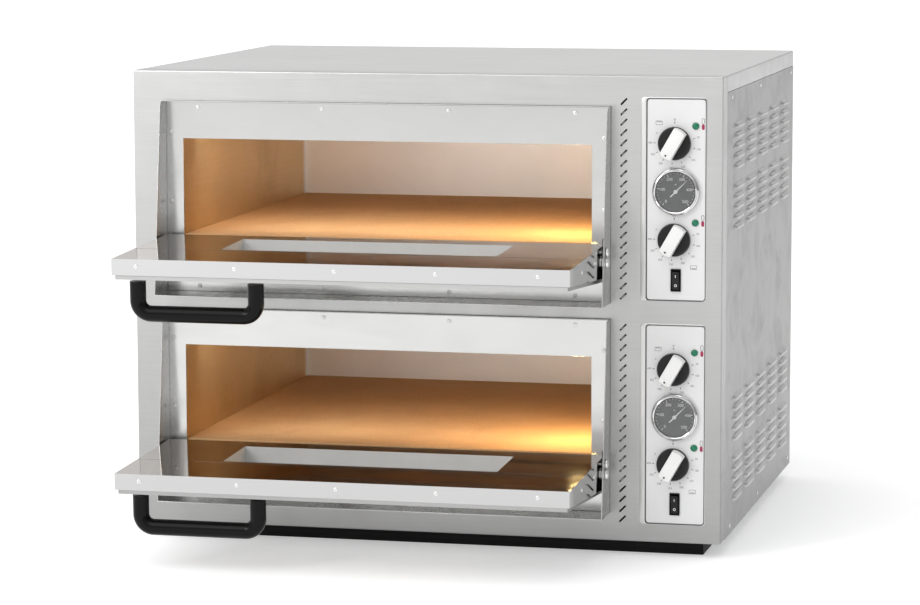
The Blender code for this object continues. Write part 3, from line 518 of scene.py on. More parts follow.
def add_text(bm, words, size, place):
    """Numerals as thin raised print, centred on the place."""
    curve = bpy.data.curves.new("numerals", "FONT")
    curve.body = words
    curve.size = size
    curve.extrude = TEXT_THICK
    curve.resolution_u = 3
    curve.align_x = "CENTER"
    curve.align_y = "CENTER"
    holder = new_object("numerals", curve)
    bpy.context.view_layer.update()
    mesh = bpy.data.meshes.new_from_object(holder.evaluated_get(bpy.context.evaluated_depsgraph_get()))
    mesh.transform(place)
    bm.from_mesh(mesh)
    bpy.data.meshes.remove(mesh)
    bpy.data.objects.remove(holder)
    bpy.data.curves.remove(curve)


def add_print_ring(bm, inner, outer, place, segments=16):
    """A thin printed circle."""
    outline = [(inner, PRINT_LOW), (outer, PRINT_LOW), (outer, PRINT_HIGH), (inner, PRINT_HIGH)]
    add_ring(bm, outline, place, segments)


# ---- fasteners ----
def add_screw(bm, place, outward, turn, radius=SCREW_RADIUS, height=SCREW_HEIGHT):
    """Pan head with a cross recess."""
    stand = facing(place, outward, turn)
    segments = 16
    profile = [(1.0, 0.0), (1.0, 0.40), (0.90, 0.74), (0.70, 0.94), (0.46, 1.0), (0.30, 1.0), (0.14, 1.0)]
    rings = []
    for level, (share, rise) in enumerate(profile):
        ring = []
        for i in range(segments):
            sunk = 0.65 if level >= 4 and i % 4 == 0 else 0.0
            spot = (*around(radius * share, i, segments), height * (rise - sunk))
            ring.append(bm.verts.new(stand @ Vector(spot)))
        rings.append(ring)
    for low, high in zip(rings, rings[1:]):
        band(bm, low, high)
    band(bm, rings[-1], [bm.verts.new(stand @ Vector((0, 0, height * 0.35)))])
    bm.faces.new(rings[0])


def screws(name, places, outward):
    """A row of screws as one piece of the casing."""
    bm = bmesh.new()
    for i, place in enumerate(places):
        add_screw(bm, place, outward, math.radians(37.0 * i))
    finish_piece(name, bm, "screw_steel", "casing")


def rivets(name, places, outward, body):
    """Low domed rivets as one piece."""
    bm = bmesh.new()
    profile = [(0.0, 0.0), (RIVET_RADIUS, 0.0), (RIVET_RADIUS, 0.0004), (RIVET_RADIUS * 0.85, 0.00075),
               (RIVET_RADIUS * 0.52, 0.00097), (0.0, 0.00099)]
    for place in places:
        add_turned(bm, profile, facing(place, outward), 16)
    finish_piece(name, bm, "screw_steel", body)


# ---- casing ----
def casing_screws():
    """Screws in the casing's sides, back and lid flange."""
    bottom, top = CASE_LOW.z + 0.014, CASE_LOW.z + 0.656
    reach = (FRONT + 0.083, 0.0, BACK - 0.030)
    for hand, sign in HANDS:
        places = [(sign * SIDE, y, z) for y in reach for z in (bottom, top)]
        screws(hand + "_side_screws", places, (sign, 0, 0))
    columns = [SIDE * share for share in (-0.95, -0.48, 0.0, 0.48, 0.95)]
    places = [(x, BACK, z) for x in columns for z in (bottom, top)]
    places += [(sign * SIDE * 0.95, BACK, z) for sign in (-1, 1) for z in (0.24, 0.46)]
    screws("back_screws", places, (0, 1, 0))
    flange = (LID_SEAM + CASE_HIGH.z) / 2
    screws("lid_screws", [(x, BACK, flange) for x in columns[::2]], (0, 1, 0))


def louvred_panel():
    """Right side sheet with an opening behind each pressed hood."""
    low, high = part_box("casing_right_panel")
    thick = SIDE - low.x
    holes_y = [FRONT + LOUVRE_FIRST_Y + column * LOUVRE_COLUMN_PITCH for column in range(LOUVRE_COLUMNS)]
    holes_z = sorted(CASE_LOW.z + top + LOUVRE_HEIGHT / 2 - row * LOUVRE_ROW_PITCH
                     for top in LOUVRE_BLOCK_TOPS for row in range(LOUVRE_ROWS))
    reach = LOUVRE_LENGTH * 0.42
    lines_y = [low.y] + [y + side * reach for y in holes_y for side in (-1, 1)] + [high.y]
    lines_z = [low.z] + [z - drop for z in holes_z for drop in (LOUVRE_HEIGHT, 0.0015)] + [high.z]
    bm = bmesh.new()
    layers = [[[bm.verts.new((x, y, z)) for z in lines_z] for y in lines_y] for x in (SIDE, SIDE - thick)]
    rows, columns = len(lines_z) - 1, len(lines_y) - 1

    def open_at(j, i):
        return j % 2 == 1 and i % 2 == 1 and 0 < j < columns and 0 < i < rows

    def solid_at(j, i):
        return 0 <= j < columns and 0 <= i < rows and not open_at(j, i)

    for j in range(columns):
        for i in range(rows):
            if open_at(j, i):
                continue
            corners = [(j, i), (j + 1, i), (j + 1, i + 1), (j, i + 1)]
            for layer in layers:
                bm.faces.new([layer[a][b] for a, b in corners])
            beside = [(j, i - 1), (j + 1, i), (j, i + 1), (j - 1, i)]
            for k, neighbour in enumerate(beside):
                if not solid_at(*neighbour):
                    (a, b), (c, d) = corners[k], corners[(k + 1) % 4]
                    bm.faces.new((layers[0][a][b], layers[0][c][d], layers[1][c][d], layers[1][a][b]))
    panel = finish_piece("louvred_side", bm, "side_steel_painted_shade", "casing", 50.0)
    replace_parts(panel, "casing_right_panel")
    bm = bmesh.new()
    for y in holes_y:
        for z in holes_z:
            add_hood(bm, y, z)
    # The hoods are lighter than the sheet they are pressed from: painted highlight.
    hoods = finish_piece("louvre_hoods", bm, "louvre_steel_painted_highlight", "casing", 50.0)
    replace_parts(hoods, "casing_right_panel")


def plain_side():
    """Left side sheet; its screws are separate pieces."""
    low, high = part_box("casing_left_panel")
    bm = bmesh.new()
    add_block(bm, (-SIDE, low.y, low.z), (high.x, high.y, high.z))
    sheet = finish_piece("plain_side_sheet", bm, "side_steel_painted_shade", "casing")
    bevel(sheet, 0.0004)
    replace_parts(sheet, "casing_left_panel")


def add_hood(bm, y_centre, z_top):
    """Pressed louvre hood, open along its lower edge and closed at both ends."""
    across, down = 14, 6
    sheet = 0.0007
    skins = []
    for inset in (0.0, sheet):
        skin = []
        for j in range(down + 1):
            fall = j / down
            swell = math.sin(min(1.0, fall / 0.75) * math.pi / 2) ** 0.9
            row = []
            for i in range(across + 1):
                along = 2 * i / across - 1
                end = min(1.0, (1 - abs(along)) / 0.20)
                end = end * end * (3 - 2 * end)
                x = SIDE - 0.0002 + (LOUVRE_PROUD + 0.0001 - inset) * swell * end - inset * 0.5
                row.append(bm.verts.new((x, y_centre + along * LOUVRE_LENGTH / 2,
                                         z_top - fall * LOUVRE_HEIGHT)))
            skin.append(row)
        skins.append(skin)
    outer, inner = skins
    for j in range(down):
        for i in range(across):
            for skin in skins:
                bm.faces.new((skin[j][i], skin[j][i + 1], skin[j + 1][i + 1], skin[j + 1][i]))
    rim = [(0, i) for i in range(across)] + [(j, across) for j in range(down)]
    rim += [(down, across - i) for i in range(across)] + [(down - j, 0) for j in range(down)]
    for (a, b), (c, d) in zip(rim, rim[1:] + rim[:1]):
        bm.faces.new((outer[a][b], outer[c][d], inner[c][d], inner[a][b]))


def vent_tongues():
    """Slanted tongues of sheet pressed in behind the front slots."""
    run, half, sheet = 0.0050, 0.00085, 0.0005
    for deck in DECKS:
        bm = bmesh.new()
        for row in range(VENT_COUNT):
            if row in OPEN_VENTS[deck]:
                continue
            centre = (VENT_X, FRONT, CASE_LOW.z + VENT_TOPS[deck] - row * VENT_PITCH)
            slope = (on_front(*centre) @ Matrix.Rotation(math.radians(45.0), 4, "Z")
                     @ Matrix.Translation((0.0, 0.0, -0.0031)) @ Matrix.Rotation(math.radians(34.0), 4, "Y"))
            add_block(bm, (-run, -half, -sheet), (run, half, 0.0), slope)
        finish_piece(deck + "_vent_tongues", bm, "pressed_steel", "casing")


def gland():
    """Cable gland: hexagonal body, ribbed dome nut and rubber seal."""
    low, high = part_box("cable_gland")
    x, _, z = middle_of(low, high)
    out = facing((x, BACK, z), (0, 1, 0))
    reach = high.y - BACK
    bm = bmesh.new()
    add_plate(bm, [around(0.0160, i, 6) for i in range(6)], 0.0002, reach * 0.30, out)
    dome = [around(0.0127 if i % 4 < 2 else 0.0119, i, 48) for i in range(48)]
    add_plate(bm, dome, reach * 0.31, reach * 0.72, out)
    seal = ((0.0, 0.70), (0.0115, 0.70), (0.0115, 0.80), (0.0095, 0.94), (0.0070, 1.0), (0.0060, 1.0),
            (0.0055, 0.90), (0.0, 0.90))
    add_turned(bm, [(radius, reach * share) for radius, share in seal], out, 32)
    add_turned(bm, [(0.0, -0.012), (0.0098, -0.012), (0.0098, 0.0004), (0.0, 0.0004)], out, 24)
    piece = finish_piece("gland_body", bm, "matt_black", "casing")
    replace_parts(piece, "cable_gland")
    bevel(piece, 0.0004)


# ---- decks ----
def mouth_details(deck):
    """Screws round the mouth and the oven lamp inside it."""
    low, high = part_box(deck + "_collar")
    middle = (low.x + high.x) / 2
    base = low.z
    places = [(x, FRONT, base + height) for height in (0.280, 0.010) for x in FRAME_SCREWS_X]
    places += [(middle + sign * 0.3325, FRONT, base + height)
               for sign in (-1, 1) for height in FRAME_SCREWS_SIDE]
    screws(deck + "_mouth_screws", places, (0, -1, 0))

    lamp_low, lamp_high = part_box(deck + "_oven_lamp")
    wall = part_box(deck + "_chamber")[1].x - 0.001
    inward = facing((wall, *middle_of(lamp_low, lamp_high)[1:]), (-1, 0, 0))
    depth = wall - lamp_low.x
    bm = bmesh.new()
    add_turned(bm, [(0.0, -0.004), (0.0172, -0.004), (0.0172, 0.0025), (0.0165, depth * 0.40),
                    (0.0145, depth * 0.66), (0.0105, depth * 0.88), (0.0055, depth * 0.97), (0.0, depth)],
               inward, 40)
    dome = finish_piece(deck + "_lamp_dome", bm, "bulb", "casing")
    bm = bmesh.new()
    add_ring(bm, [(0.0175, 0.0004), (0.0245, 0.0004), (0.0245, 0.0012), (0.0232, 0.0022), (0.0190, 0.0024),
                  (0.0175, 0.0018)], inward)
    add_turned(bm, [(0.0, -0.034), (0.0150, -0.034), (0.0186, -0.030), (0.0186, -0.005), (0.0, -0.005)],
               inward, 32)
    for i in range(3):
        angle = math.tau * (i + 0.25) / 3
        spot = inward @ Vector((0.0212 * math.cos(angle), 0.0212 * math.sin(angle), 0.0022))
        add_screw(bm, spot, (-1, 0, 0), angle, 0.0018, 0.0008)
    socket = finish_piece(deck + "_lamp_ring", bm, "screw_steel", "casing")
    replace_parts(dome, deck + "_oven_lamp")
    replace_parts(socket, deck + "_oven_lamp")


def hinge_details(deck):
    """Second bolt beside each hinge pin, and black blocks in the gap there as painted shadow."""
    collar_low, collar_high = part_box(deck + "_collar")
    pin_low, pin_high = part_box(deck + "_left_hinge_pin")
    _, y, z = middle_of(pin_low, pin_high)
    bolts, shadow_blocks = bmesh.new(), bmesh.new()
    for (hand, sign), edge in zip(HANDS, (collar_low.x, collar_high.x)):
        head = facing((edge, y, z + 0.0155), (sign, 0, 0))
        add_turned(bolts, [(0.0, -0.0050), (0.0028, -0.0050), (0.0028, 0.0002), (0.0062, 0.0002),
                           (0.0068, 0.0010), (0.0066, 0.0026), (0.0052, 0.0036), (0.0, 0.0040)], head, 24)
        inner = edge - sign * 0.0017
        near, far = sorted((inner, inner - sign * 0.0026))
        # Black blocks in the gap between door and collar: painted shadow of the gap.
        for drop, rise in GAP_SHADOW_SPANS[hand]:
            add_block(shadow_blocks, (near, y - 0.008, z + drop), (far, y + 0.010, z + rise))
    bevel(finish_piece(deck + "_hinge_bolts", bolts, "screw_steel", "casing"), 0.0003)
    bevel(finish_piece(deck + "_gap_shadow_blocks", shadow_blocks, "matt_black", "casing"), 0.0006)


# ---- doors, built closed about the hinge: local X across, Y inwards (n), Z up the door (u) ----
def door_place(deck):
    """Matrix from the closed door's own frame to the open door at rest."""
    low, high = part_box(deck + "_left_hinge_pin")
    return Matrix.Translation((0.0, *middle_of(low, high)[1:])) @ Matrix.Rotation(DOOR_SWING, 4, "X")


def door_box(node, place):
    """Corners of a CAD node in its closed door's frame."""
    inverse = place.inverted()
    points = [inverse @ vert.co for vert in NODES[node].data.vertices]
    low = Vector([min(point[i] for point in points) for i in range(3)])
    high = Vector([max(point[i] for point in points) for i in range(3)])
    return low, high


def door_details(deck):
    """Window trim and liner, rivets and handle of one door."""
    body = deck + "_door"
    place = door_place(deck)
    pan_low, pan_high = door_box(deck + "_door_inner", place)
    pane_low, pane_high = door_box(deck + "_door_glass", place)
    middle = (pan_low.x + pan_high.x) / 2
    lap = 0.008
    left, right = pane_low.x + lap, pane_high.x - lap
    bottom, top = pane_low.z + lap, pane_high.z - lap
    window = (left, right, -top, -bottom)
    face = place @ Matrix.Translation((0.0, pan_high.y, 0.0)) @ Matrix.Rotation(math.radians(-90.0), 4, "X")

    bm = bmesh.new()
    outer = rounded_box(pan_low.x + 0.0005, pan_high.x - 0.0005, -(top + 0.007), -(bottom - 0.007), 0.001, 1)
    inner = inset_box(window, 0.0004, 0.001, 1)
    add_frame(bm, outer, inner, 0.00005, TRIM_RAISE, face)
    finish_piece(deck + "_window_trim", bm, "mirror_steel", body, 20.0)

    bm = bmesh.new()
    depth = pan_high.y - pane_high.y - 0.0006
    add_frame(bm, inset_box(window, 0.0002, 0.0006, 2), inset_box(window, 0.0009, 0.0006, 2), -depth,
              -0.0002, face)
    finish_piece(deck + "_window_liner", bm, "liner_steel", body, 20.0)

    edge_out = (place.to_3x3() @ Vector((0, 0, 1))).normalized()
    edge = door_box(deck + "_door_skin", place)[1].z + SKIN_INSET
    spots = [place @ Vector((middle + x, EDGE_RIVETS_LEVEL, edge)) for x in EDGE_RIVETS_X]
    rivets(deck + "_door_edge_rivets", spots, edge_out, body)
    for hand, sign in HANDS:
        side = middle + sign * (pan_high.x - middle)
        spots = [place @ Vector((side, 0.008, u)) for u in (0.060, 0.150)]
        rivets(deck + "_door_" + hand + "_rivets", spots, (sign, 0, 0), body)
    door_handle(deck, body, place)


def door_handle(deck, body, place):
    """Glossy black bent tube."""
    low, high = door_box(deck + "_door_handle", place)
    radius = (high.z - low.z) / 2
    height = (high.z + low.z) / 2
    left, right = low.x + radius, high.x - radius
    grip, foot = low.y + radius, high.y
    bend = GRIP_BEND
    path = [(left, foot - 0.0008), (left, foot - 0.012), (left, grip + bend + 0.006)]
    path += arc((left + bend, grip + bend), bend, 180, 270, 14)
    path += [((left + right) / 2, grip)]
    path += arc((right - bend, grip + bend), bend, 270, 360, 14)
    path += [(right, grip + bend + 0.006), (right, foot - 0.012), (right, foot - 0.0008)]
    bm = bmesh.new()
    points = [place @ Vector((x, n, height)) for x, n in path]
    sweep(bm, points, radius * 0.998, place.to_3x3() @ Vector((0, 0, 1)), 28)
    grip_piece = finish_piece(deck + "_grip", bm, "handle_black", body)
    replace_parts(grip_piece, deck + "_door_handle")


# ---- controls ----
def add_marks(bm, centre, y, angles, near, far, width):
    """Radial tick marks; angles run clockwise from the top."""
    for angle in angles:
        stand = on_front(centre[0], y, centre[1]) @ Matrix.Rotation(math.radians(-angle), 4, "Z")
        add_block(bm, (-width / 2, near, PRINT_LOW), (width / 2, far, PRINT_HIGH), stand)


def clockwise(radius, angle):
    """Right and up offsets of a point at an angle clockwise from the top."""
    turn = math.radians(angle)
    return radius * math.sin(turn), radius * math.cos(turn)


def plate_print(deck, plate_low, plate_high, knobs, pilots):
    """Border, knob scales and pictograms printed on one control plate."""
    y = plate_low.y
    bm = bmesh.new()
    plate = (plate_low.x, plate_high.x, plate_low.z, plate_high.z)
    add_frame(bm, inset_box(plate, 0.0002, 0.0048), inset_box(plate, 0.0012, 0.0038), PRINT_LOW, PRINT_HIGH,
              on_front(0.0, y, 0.0))
    for knob_x, knob_z in knobs:
        angles = [KNOB_FIRST + KNOB_STEP * i for i in range(KNOB_MARKS)]
        add_marks(bm, (knob_x, knob_z), y, angles, 0.0282, 0.0312, 0.0009)
        for i, angle in enumerate(angles):
            a, b = clockwise(0.0362, angle)
            add_text(bm, str(50 * (i + 1)), 0.0042, on_front(knob_x + a, y, knob_z + b))
        add_print_ring(bm, 0.0011, 0.0016, on_front(knob_x, y, knob_z + 0.0350), 20)
        arrow = on_front(knob_x, y, knob_z + 0.0305)
        add_plate(bm, [(-0.0012, 0.0012), (0.0, -0.0016), (0.0012, 0.0012)], PRINT_LOW, PRINT_HIGH, arrow)
        add_print_ring(bm, 0.0007, 0.0011, on_front(knob_x - 0.0265, y, knob_z + 0.0150))
    for a, b, bar in ((knobs[0][0] - 0.0230, knobs[0][1] + 0.0300, 1),
                      (knobs[1][0] + 0.0290, knobs[1][1] - 0.0400, -1)):
        icon = on_front(a, y, b)
        add_frame(bm, rounded_box(-0.0050, 0.0050, -0.0030, 0.0030, 0.0006, 1),
                  rounded_box(-0.0045, 0.0045, -0.0025, 0.0025, 0.0004, 1), PRINT_LOW, PRINT_HIGH, icon)
        level = bar * 0.0014
        add_block(bm, (-0.0034, level - 0.0004, PRINT_LOW), (0.0034, level + 0.0004, PRINT_HIGH), icon)
    finish_piece(deck + "_plate_print", bm, "print_grey", "casing")

    stems, bulbs = bmesh.new(), bmesh.new()
    for pilot_x, pilot_z in pilots:
        stem = on_front(pilot_x + 0.0108, y, pilot_z + 0.0030)
        add_frame(stems, rounded_box(-0.0022, 0.0022, 0.0, 0.0085, 0.0021, 4),
                  rounded_box(-0.0015, 0.0015, 0.0006, 0.0078, 0.0014, 4), PRINT_LOW, PRINT_HIGH, stem)
        add_plate(bulbs, rounded_box(-0.0022, 0.0022, -0.0085, -0.0002, 0.0021), PRINT_LOW, BOLD_HIGH, stem)
    finish_piece(deck + "_icon_stems", stems, "print_grey", "casing")
    finish_piece(deck + "_icon_bulbs", bulbs, "print_red", "casing")


def plate_rim(deck, low, high):
    """Soft pressed rim in the casing round the plate, wide on its left."""
    bm = bmesh.new()
    outer = rounded_box(low.x - 0.0085, high.x + 0.0014, low.z - 0.0014, high.z + 0.0018, 0.0055)
    inner = inset_box((low.x, high.x, low.z, high.z), -0.0007, 0.0052)
    add_frame(bm, outer, inner, 0.00005, 0.0008, on_front(0.0, FRONT, 0.0), 0.0009)
    # The rim is lighter than the front sheet it is pressed in: painted highlight.
    finish_piece(deck + "_plate_rim", bm, "rim_steel_painted_highlight", "casing", 60.0)


def knob_pieces(deck, spot):
    """Black skirt and white grip bar of one knob, with its pointer dot."""
    node = deck + "_" + spot + "_heat_knob"
    low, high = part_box(node)
    body = deck + "_" + spot + "_knob"
    x, _, z = middle_of(low, high)
    reach = high.y - low.y
    radius = (high.z - low.z) / 2
    stand = on_front(x, high.y, z) @ Matrix.Rotation(math.radians(KNOB_TURN), 4, "Z")
    skirt = 0.0085
    bm = bmesh.new()
    add_turned(bm, [(0.0, 0.0005), (radius - 0.0015, 0.0005), (radius - 0.0015, 0.0), (radius - 0.0005, 0.0),
                    (radius, 0.0006), (radius - 0.0004, 0.0035), (radius - 0.0012, 0.0068),
                    (radius - 0.0024, skirt - 0.0004), (radius - 0.0040, skirt),
                    (radius - 0.0070, skirt - 0.0008), (0.0, skirt - 0.0012)], stand, 56)
    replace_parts(finish_piece(node + "_skirt", bm, "knob_black", body), node)

    half, length = 0.0098, radius - 0.0008
    outline = []
    for end in (1, -1):
        start = math.degrees(math.acos(half / length))
        outline += arc((0.0, 0.0), length, start if end > 0 else start + 180.0,
                       180.0 - start if end > 0 else 360.0 - start, 8)
    bm = bmesh.new()
    levels = [(1.0, skirt - 0.0016), (1.0, skirt + 0.0050), (0.965, reach - 0.0016), (0.93, reach - 0.0003),
              (0.90, reach)]
    rings = [[bm.verts.new(stand @ Vector((a * share, b * (share * 0.5 + 0.5), level))) for a, b in outline]
             for share, level in levels]
    for near, far in zip(rings, rings[1:]):
        band(bm, near, far)
    bm.faces.new(rings[0])
    bm.faces.new(rings[-1])
    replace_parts(finish_piece(node + "_bar", bm, "knob_white", body, 40.0), node)
    bm = bmesh.new()
    dot = stand @ Matrix.Translation((0.0, radius - 0.0058, reach - 0.0001))
    outline = [(0.0, -0.0004), (0.0017, -0.0004), (0.0017, 0.0), (0.0015, 0.0001), (0.0, 0.0001)]
    add_turned(bm, outline, dot, 20)
    finish_piece(node + "_dot", bm, "print_grey", body)


def gauge_pieces(deck):
    """Chrome bezel, printed dial and glass of one thermometer."""
    node = deck + "_thermometer_case"
    low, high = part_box(node)
    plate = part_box(deck + "_control_plate")[0].y
    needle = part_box(deck + "_thermometer_needle")
    radius = (high.z - low.z) / 2
    proud = plate - low.y
    dial = plate - needle[1].y - 0.0004
    x, _, z = middle_of(low, high)
    stand = on_front(x, plate, z)
    bm = bmesh.new()
    crown = ((0.0056, 0.0014), (0.0050, 0.0004), (0.0040, 0.0), (0.0030, 0.0003), (0.0024, 0.0014),
             (0.0012, 0.0020), (0.0003, 0.0032), (0.0, 0.0050))
    bezel = [(radius - inset, proud - drop) for inset, drop in crown]
    add_ring(bm, [(radius - 0.0058, dial - 0.0006), *bezel, (radius, 0.0003), (radius - 0.0058, 0.0003)],
             stand, 72)
    add_turned(bm, [(0.0, -0.022), (0.0300, -0.022), (0.0308, -0.021), (0.0308, -0.0002), (0.0, -0.0002)],
               stand, 40)
    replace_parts(finish_piece(deck + "_gauge_bezel", bm, "chrome", "casing"), node)
    bm = bmesh.new()
    disc = radius - 0.0060
    add_turned(bm, [(0.0, 0.0005), (disc, 0.0005), (disc, dial), (0.0, dial)], stand, 64)
    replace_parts(finish_piece(deck + "_gauge_dial", bm, "dial_grey", "casing"), node)

    bm = bmesh.new()
    face_y = plate - dial
    centre = (stand.translation.x, stand.translation.z)
    majors = [GAUGE_FIRST + GAUGE_STEP * i for i in range(GAUGE_MARKS)]
    minors = [GAUGE_FIRST + GAUGE_STEP / 5 * i for i in range(5 * (GAUGE_MARKS - 1) + 1)]
    add_marks(bm, centre, face_y, majors, radius - 0.0108, radius - 0.0072, 0.0010)
    add_marks(bm, centre, face_y, minors, radius - 0.0090, radius - 0.0072, 0.0005)
    for i, angle in enumerate(majors):
        a, b = clockwise(radius - 0.0148, angle)
        add_text(bm, str(100 * i), 0.0062, on_front(centre[0] + a, face_y, centre[1] + b))
    add_print_ring(bm, 0.0008, 0.0012, on_front(centre[0], face_y, centre[1] + 0.0105))
    finish_piece(deck + "_gauge_scale", bm, "dial_white", "casing")

    bm = bmesh.new()
    glass_low = proud - 0.0018
    add_turned(bm, [(0.0, glass_low), (radius - 0.0057, glass_low), (radius - 0.0057, glass_low + 0.0008),
                    (radius * 0.5, glass_low + 0.0013), (0.0, glass_low + 0.0015)], stand, 64)
    finish_piece(deck + "_gauge_glass", bm, "dial_glass", "casing")


def pilot_piece(deck, spot):
    """Domed green lens in a thin chrome ring; returns its place on the plate."""
    node = deck + "_" + spot + "_pilot_lamp"
    low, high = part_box(node)
    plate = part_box(deck + "_control_plate")[0].y
    radius = (high.z - low.z) / 2
    proud = plate - low.y
    x, _, z = middle_of(low, high)
    stand = on_front(x, plate, z)
    bm = bmesh.new()
    lens = radius - 0.0008
    dome = [(0.0, -0.012), (0.0044, -0.012), (0.0044, 0.0003), (lens, 0.0003), (lens, 0.0010)]
    dome += [(lens * math.cos(t), 0.0010 + (proud - 0.0010) * math.sin(t))
             for t in (math.radians(15.0 * i) for i in range(1, 6))] + [(0.0, proud)]
    add_turned(bm, dome, stand, 32)
    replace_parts(finish_piece(node + "_lens", bm, "lens_green", "casing"), node)
    bm = bmesh.new()
    add_ring(bm, [(lens + 0.0001, 0.0001), (radius, 0.0001), (radius, 0.0008), (radius - 0.0003, 0.0013),
                  (lens + 0.0001, 0.0013)], stand, 32)
    finish_piece(node + "_ring", bm, "chrome", "casing")
    return stand.translation.x, stand.translation.z


def rocker_marks(deck):
    """Generic on and off marks moulded into the rocker."""
    low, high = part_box(deck + "_power_rocker")
    x, _, z = middle_of(low, high)
    bm = bmesh.new()
    tilt = Matrix.Rotation(math.radians(ROCKER_TILT), 4, "X")
    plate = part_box(deck + "_control_plate")[0].y
    stand = Matrix.Translation((x, plate, z)) @ tilt @ Matrix.Rotation(math.radians(90.0), 4, "X")
    rise = math.atan(0.0012 / 0.0133)
    upper = stand @ Matrix.Translation((0, 0.0070, 0.00345)) @ Matrix.Rotation(rise, 4, "X")
    lower = stand @ Matrix.Translation((0, -0.0070, 0.00345)) @ Matrix.Rotation(-rise, 4, "X")
    add_block(bm, (-0.0004, -0.0020, -0.0001), (0.0004, 0.0020, BOLD_HIGH), upper)
    add_ring(bm, [(0.0013, -0.0001), (0.0020, -0.0001), (0.0020, BOLD_HIGH), (0.0013, BOLD_HIGH)], lower, 24)
    finish_piece(deck + "_rocker_marks", bm, "dial_white", deck + "_rocker")


def controls(deck):
    """Everything visual on one control plate."""
    low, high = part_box(deck + "_control_plate")
    knobs = []
    for spot in ("top", "bottom"):
        knob_low, knob_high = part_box(deck + "_" + spot + "_heat_knob")
        knobs.append(middle_of(knob_low, knob_high)[::2])
        knob_pieces(deck, spot)
    pilots = [pilot_piece(deck, spot) for spot in ("top", "bottom")]
    gauge_pieces(deck)
    plate_rim(deck, low, high)
    plate_print(deck, low, high, knobs, pilots)
    rocker_marks(deck)


# ---- finishes for the nodes that stay ----
FINISHES = {
    "casing_front_panel": ("front_steel", 0.0004), "casing_lid": ("lid_steel_painted_light", 0.0004),
    "casing_left_panel": ("side_steel_painted_shade", 0.0003), "casing_back_panel": ("side_steel_painted_shade", 0.0003),
    "base_pan": ("hidden_steel", 0.0), "plinth": ("matt_black", 0.0006),
    "control_bay_wall": ("hidden_steel", 0.0), "collar": ("collar_steel", 0.0004),
    "mouth_frame": ("frame_steel", 0.0003), "chamber": ("chamber_sheet", 0.0),
    "insulation": ("wool", 0.0), "baking_stone": ("firebrick", 0.0010), "heater": ("element", 0.0),
    "door_inner": ("mirror_steel", 0.0), "door_skin": ("front_steel", 0.0003), "door_glass": ("pane", 0.0),
    "hinge_pin": ("screw_steel", 0.0003), "control_plate": ("foil", 0.0002),
    "thermostat": ("hidden_steel", 0.0), "needle": ("dial_white", 0.0),
    "switch_housing": ("matt_black", 0.0003), "rocker": ("knob_black", 0.0003),
}


def dress_nodes():
    """Give every node that stays visible its own finish and softened edges."""
    for name, node in NODES.items():
        if node.hide_render:
            continue
        look, width = next(pair for suffix, pair in FINISHES.items() if name.endswith(suffix))
        node.data.materials.clear()
        node.data.materials.append(LOOKS[look])
        if width:
            weld = node.modifiers.new("Join", "WELD")
            weld.merge_threshold = 0.000002
            bevel(node, width)
            even = node.modifiers.new("Shade", "WEIGHTED_NORMAL")
            even.keep_sharp = False


# ---- studio ----
def floor():
    """A wide pale floor with a faint plaster texture."""
    bm = bmesh.new()
    bmesh.ops.create_grid(bm, x_segments=8, y_segments=8, size=45.0)
    mesh = bpy.data.meshes.new("studio_floor")
    bm.to_mesh(mesh)
    bm.free()
    obj = new_object("studio_floor", mesh)
    tree, shader = blank("studio_white", 0.75)
    surface(tree, shader, ramp(tree, noise(tree, 1.5), (0.3, grey(0.90)), (0.7, grey(0.92))))
    shader.inputs["Emission Color"].default_value = (1.0, 1.0, 1.0, 1.0)
    shader.inputs["Emission Strength"].default_value = FLOOR_GLOW
    mesh.materials.append(LOOKS["studio_white"])


def add_light(name, kind, place, power, colour=(1.0, 1.0, 1.0)):
    """A light in the scene; returns its object."""
    lamp = bpy.data.lights.new(name, kind)
    lamp.energy = power
    lamp.color = colour
    obj = new_object(name, lamp)
    obj.location = place
    return obj


def area_light(name, place, target, size, power, colour=(1.0, 1.0, 1.0)):
    """A soft rectangular light aimed at a point."""
    obj = add_light(name, "AREA", place, power, colour)
    obj.data.shape = "RECTANGLE"
    obj.data.size, obj.data.size_y = size
    obj.rotation_euler = (Vector(target) - Vector(place)).to_track_quat("-Z", "Y").to_euler()


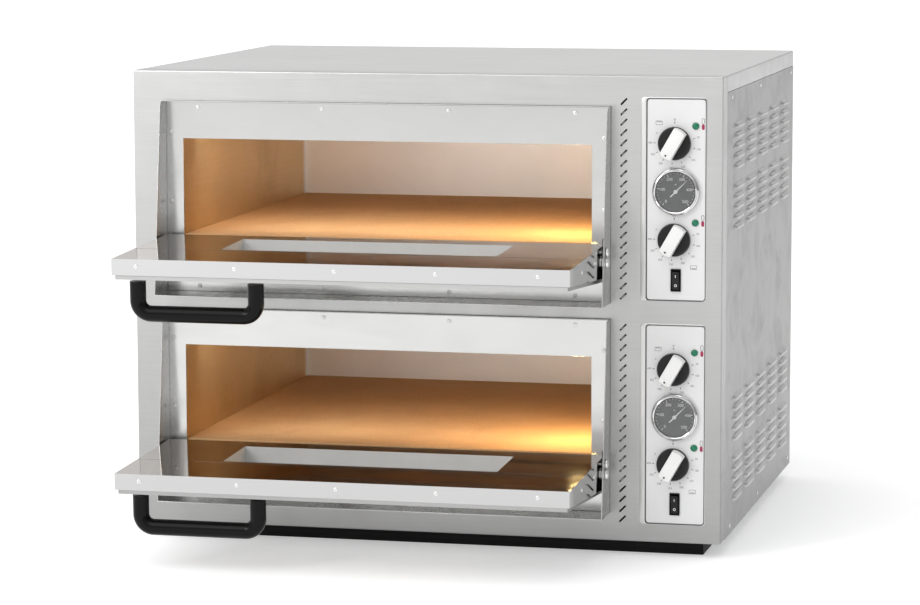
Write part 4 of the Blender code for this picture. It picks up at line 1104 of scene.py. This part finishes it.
def surroundings():
    """White world, dimmer on the right, low down and straight above."""
    world = bpy.data.worlds.new("studio")
    bpy.context.scene.world = world
    world.use_nodes = True
    tree = world.node_tree
    direction = add(tree, "TexCoord").outputs["Generated"]
    split = add(tree, "SeparateXYZ", {"Vector": direction})
    sideways = ramp(tree, spread(tree, split.outputs["X"], -1.0, 1.0, 0.0, 1.0),
                    (0.0, grey(1.0)), (0.58, grey(0.98)), (1.0, (0.30, 0.31, 0.32)))
    upright = ramp(tree, spread(tree, split.outputs["Z"], -0.1, 1.0, 0.0, 1.0),
                   (0.0, grey(0.55)), (0.35, grey(0.95)), (0.90, grey(0.72)))
    background = tree.nodes["Background"]
    tree.links.new(blend_colours(tree, 1.0, sideways, upright, "MULTIPLY"), background.inputs["Color"])
    background.inputs["Strength"].default_value = 1.0


def studio():
    """Soft keys from the left and above, a wide sun, and two lights for each chamber."""
    surroundings()
    middle = (0.0, 0.0, 0.4)
    area_light("key_strip", (-2.4, -4.0, 2.2), middle, (0.6, 2.2), 38.0)
    area_light("top", (0.3, -0.6, 3.6), middle, (3.4, 3.4), 12.0)
    sky = add_light("sky_key", "SUN", (0.0, 0.0, 0.0), 0.75)
    sky.data.angle = math.radians(50.0)
    sky.rotation_euler = (math.radians(38.0), 0.0, math.radians(-28.0))
    for deck in DECKS:
        low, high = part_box(deck + "_oven_lamp")
        spot = (low.x - 0.030, *middle_of(low, high)[1:])
        add_light(deck + "_lamp_light", "POINT", spot, 1.0, (1.0, 0.74, 0.32)).data.shadow_soft_size = 0.014
        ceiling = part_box(deck + "_chamber")[1].z - 0.016
        area_light(deck + "_chamber_fill", (-0.08, FRONT + 0.06, ceiling),
                   (-0.08, FRONT + 0.44, ceiling - 0.14), (0.52, 0.04), FILL_POWER[deck], (1.0, 0.95, 0.86))
    bpy.context.scene.view_settings.view_transform = "Standard"


def camera():
    """Long-lens camera a little to the right and above."""
    data = bpy.data.cameras.new("camera")
    data.sensor_width = 36.0
    data.lens = CAMERA_LENS
    data.clip_end = 200.0
    obj = new_object("camera", data)
    aim = (Matrix.Rotation(math.radians(CAMERA_YAW), 4, "Z")
           @ Matrix.Rotation(math.radians(90.0 - CAMERA_DROP), 4, "X")
           @ Matrix.Rotation(math.radians(CAMERA_ROLL), 4, "Z"))
    obj.matrix_world = Matrix.Translation(CAMERA_PLACE) @ aim
    bpy.context.scene.camera = obj


camera()
studio()
floor()
casing_screws()
louvred_panel()
plain_side()
vent_tongues()
gland()
for deck_name in DECKS:
    mouth_details(deck_name)
    hinge_details(deck_name)
    door_details(deck_name)
    controls(deck_name)
dress_nodes()
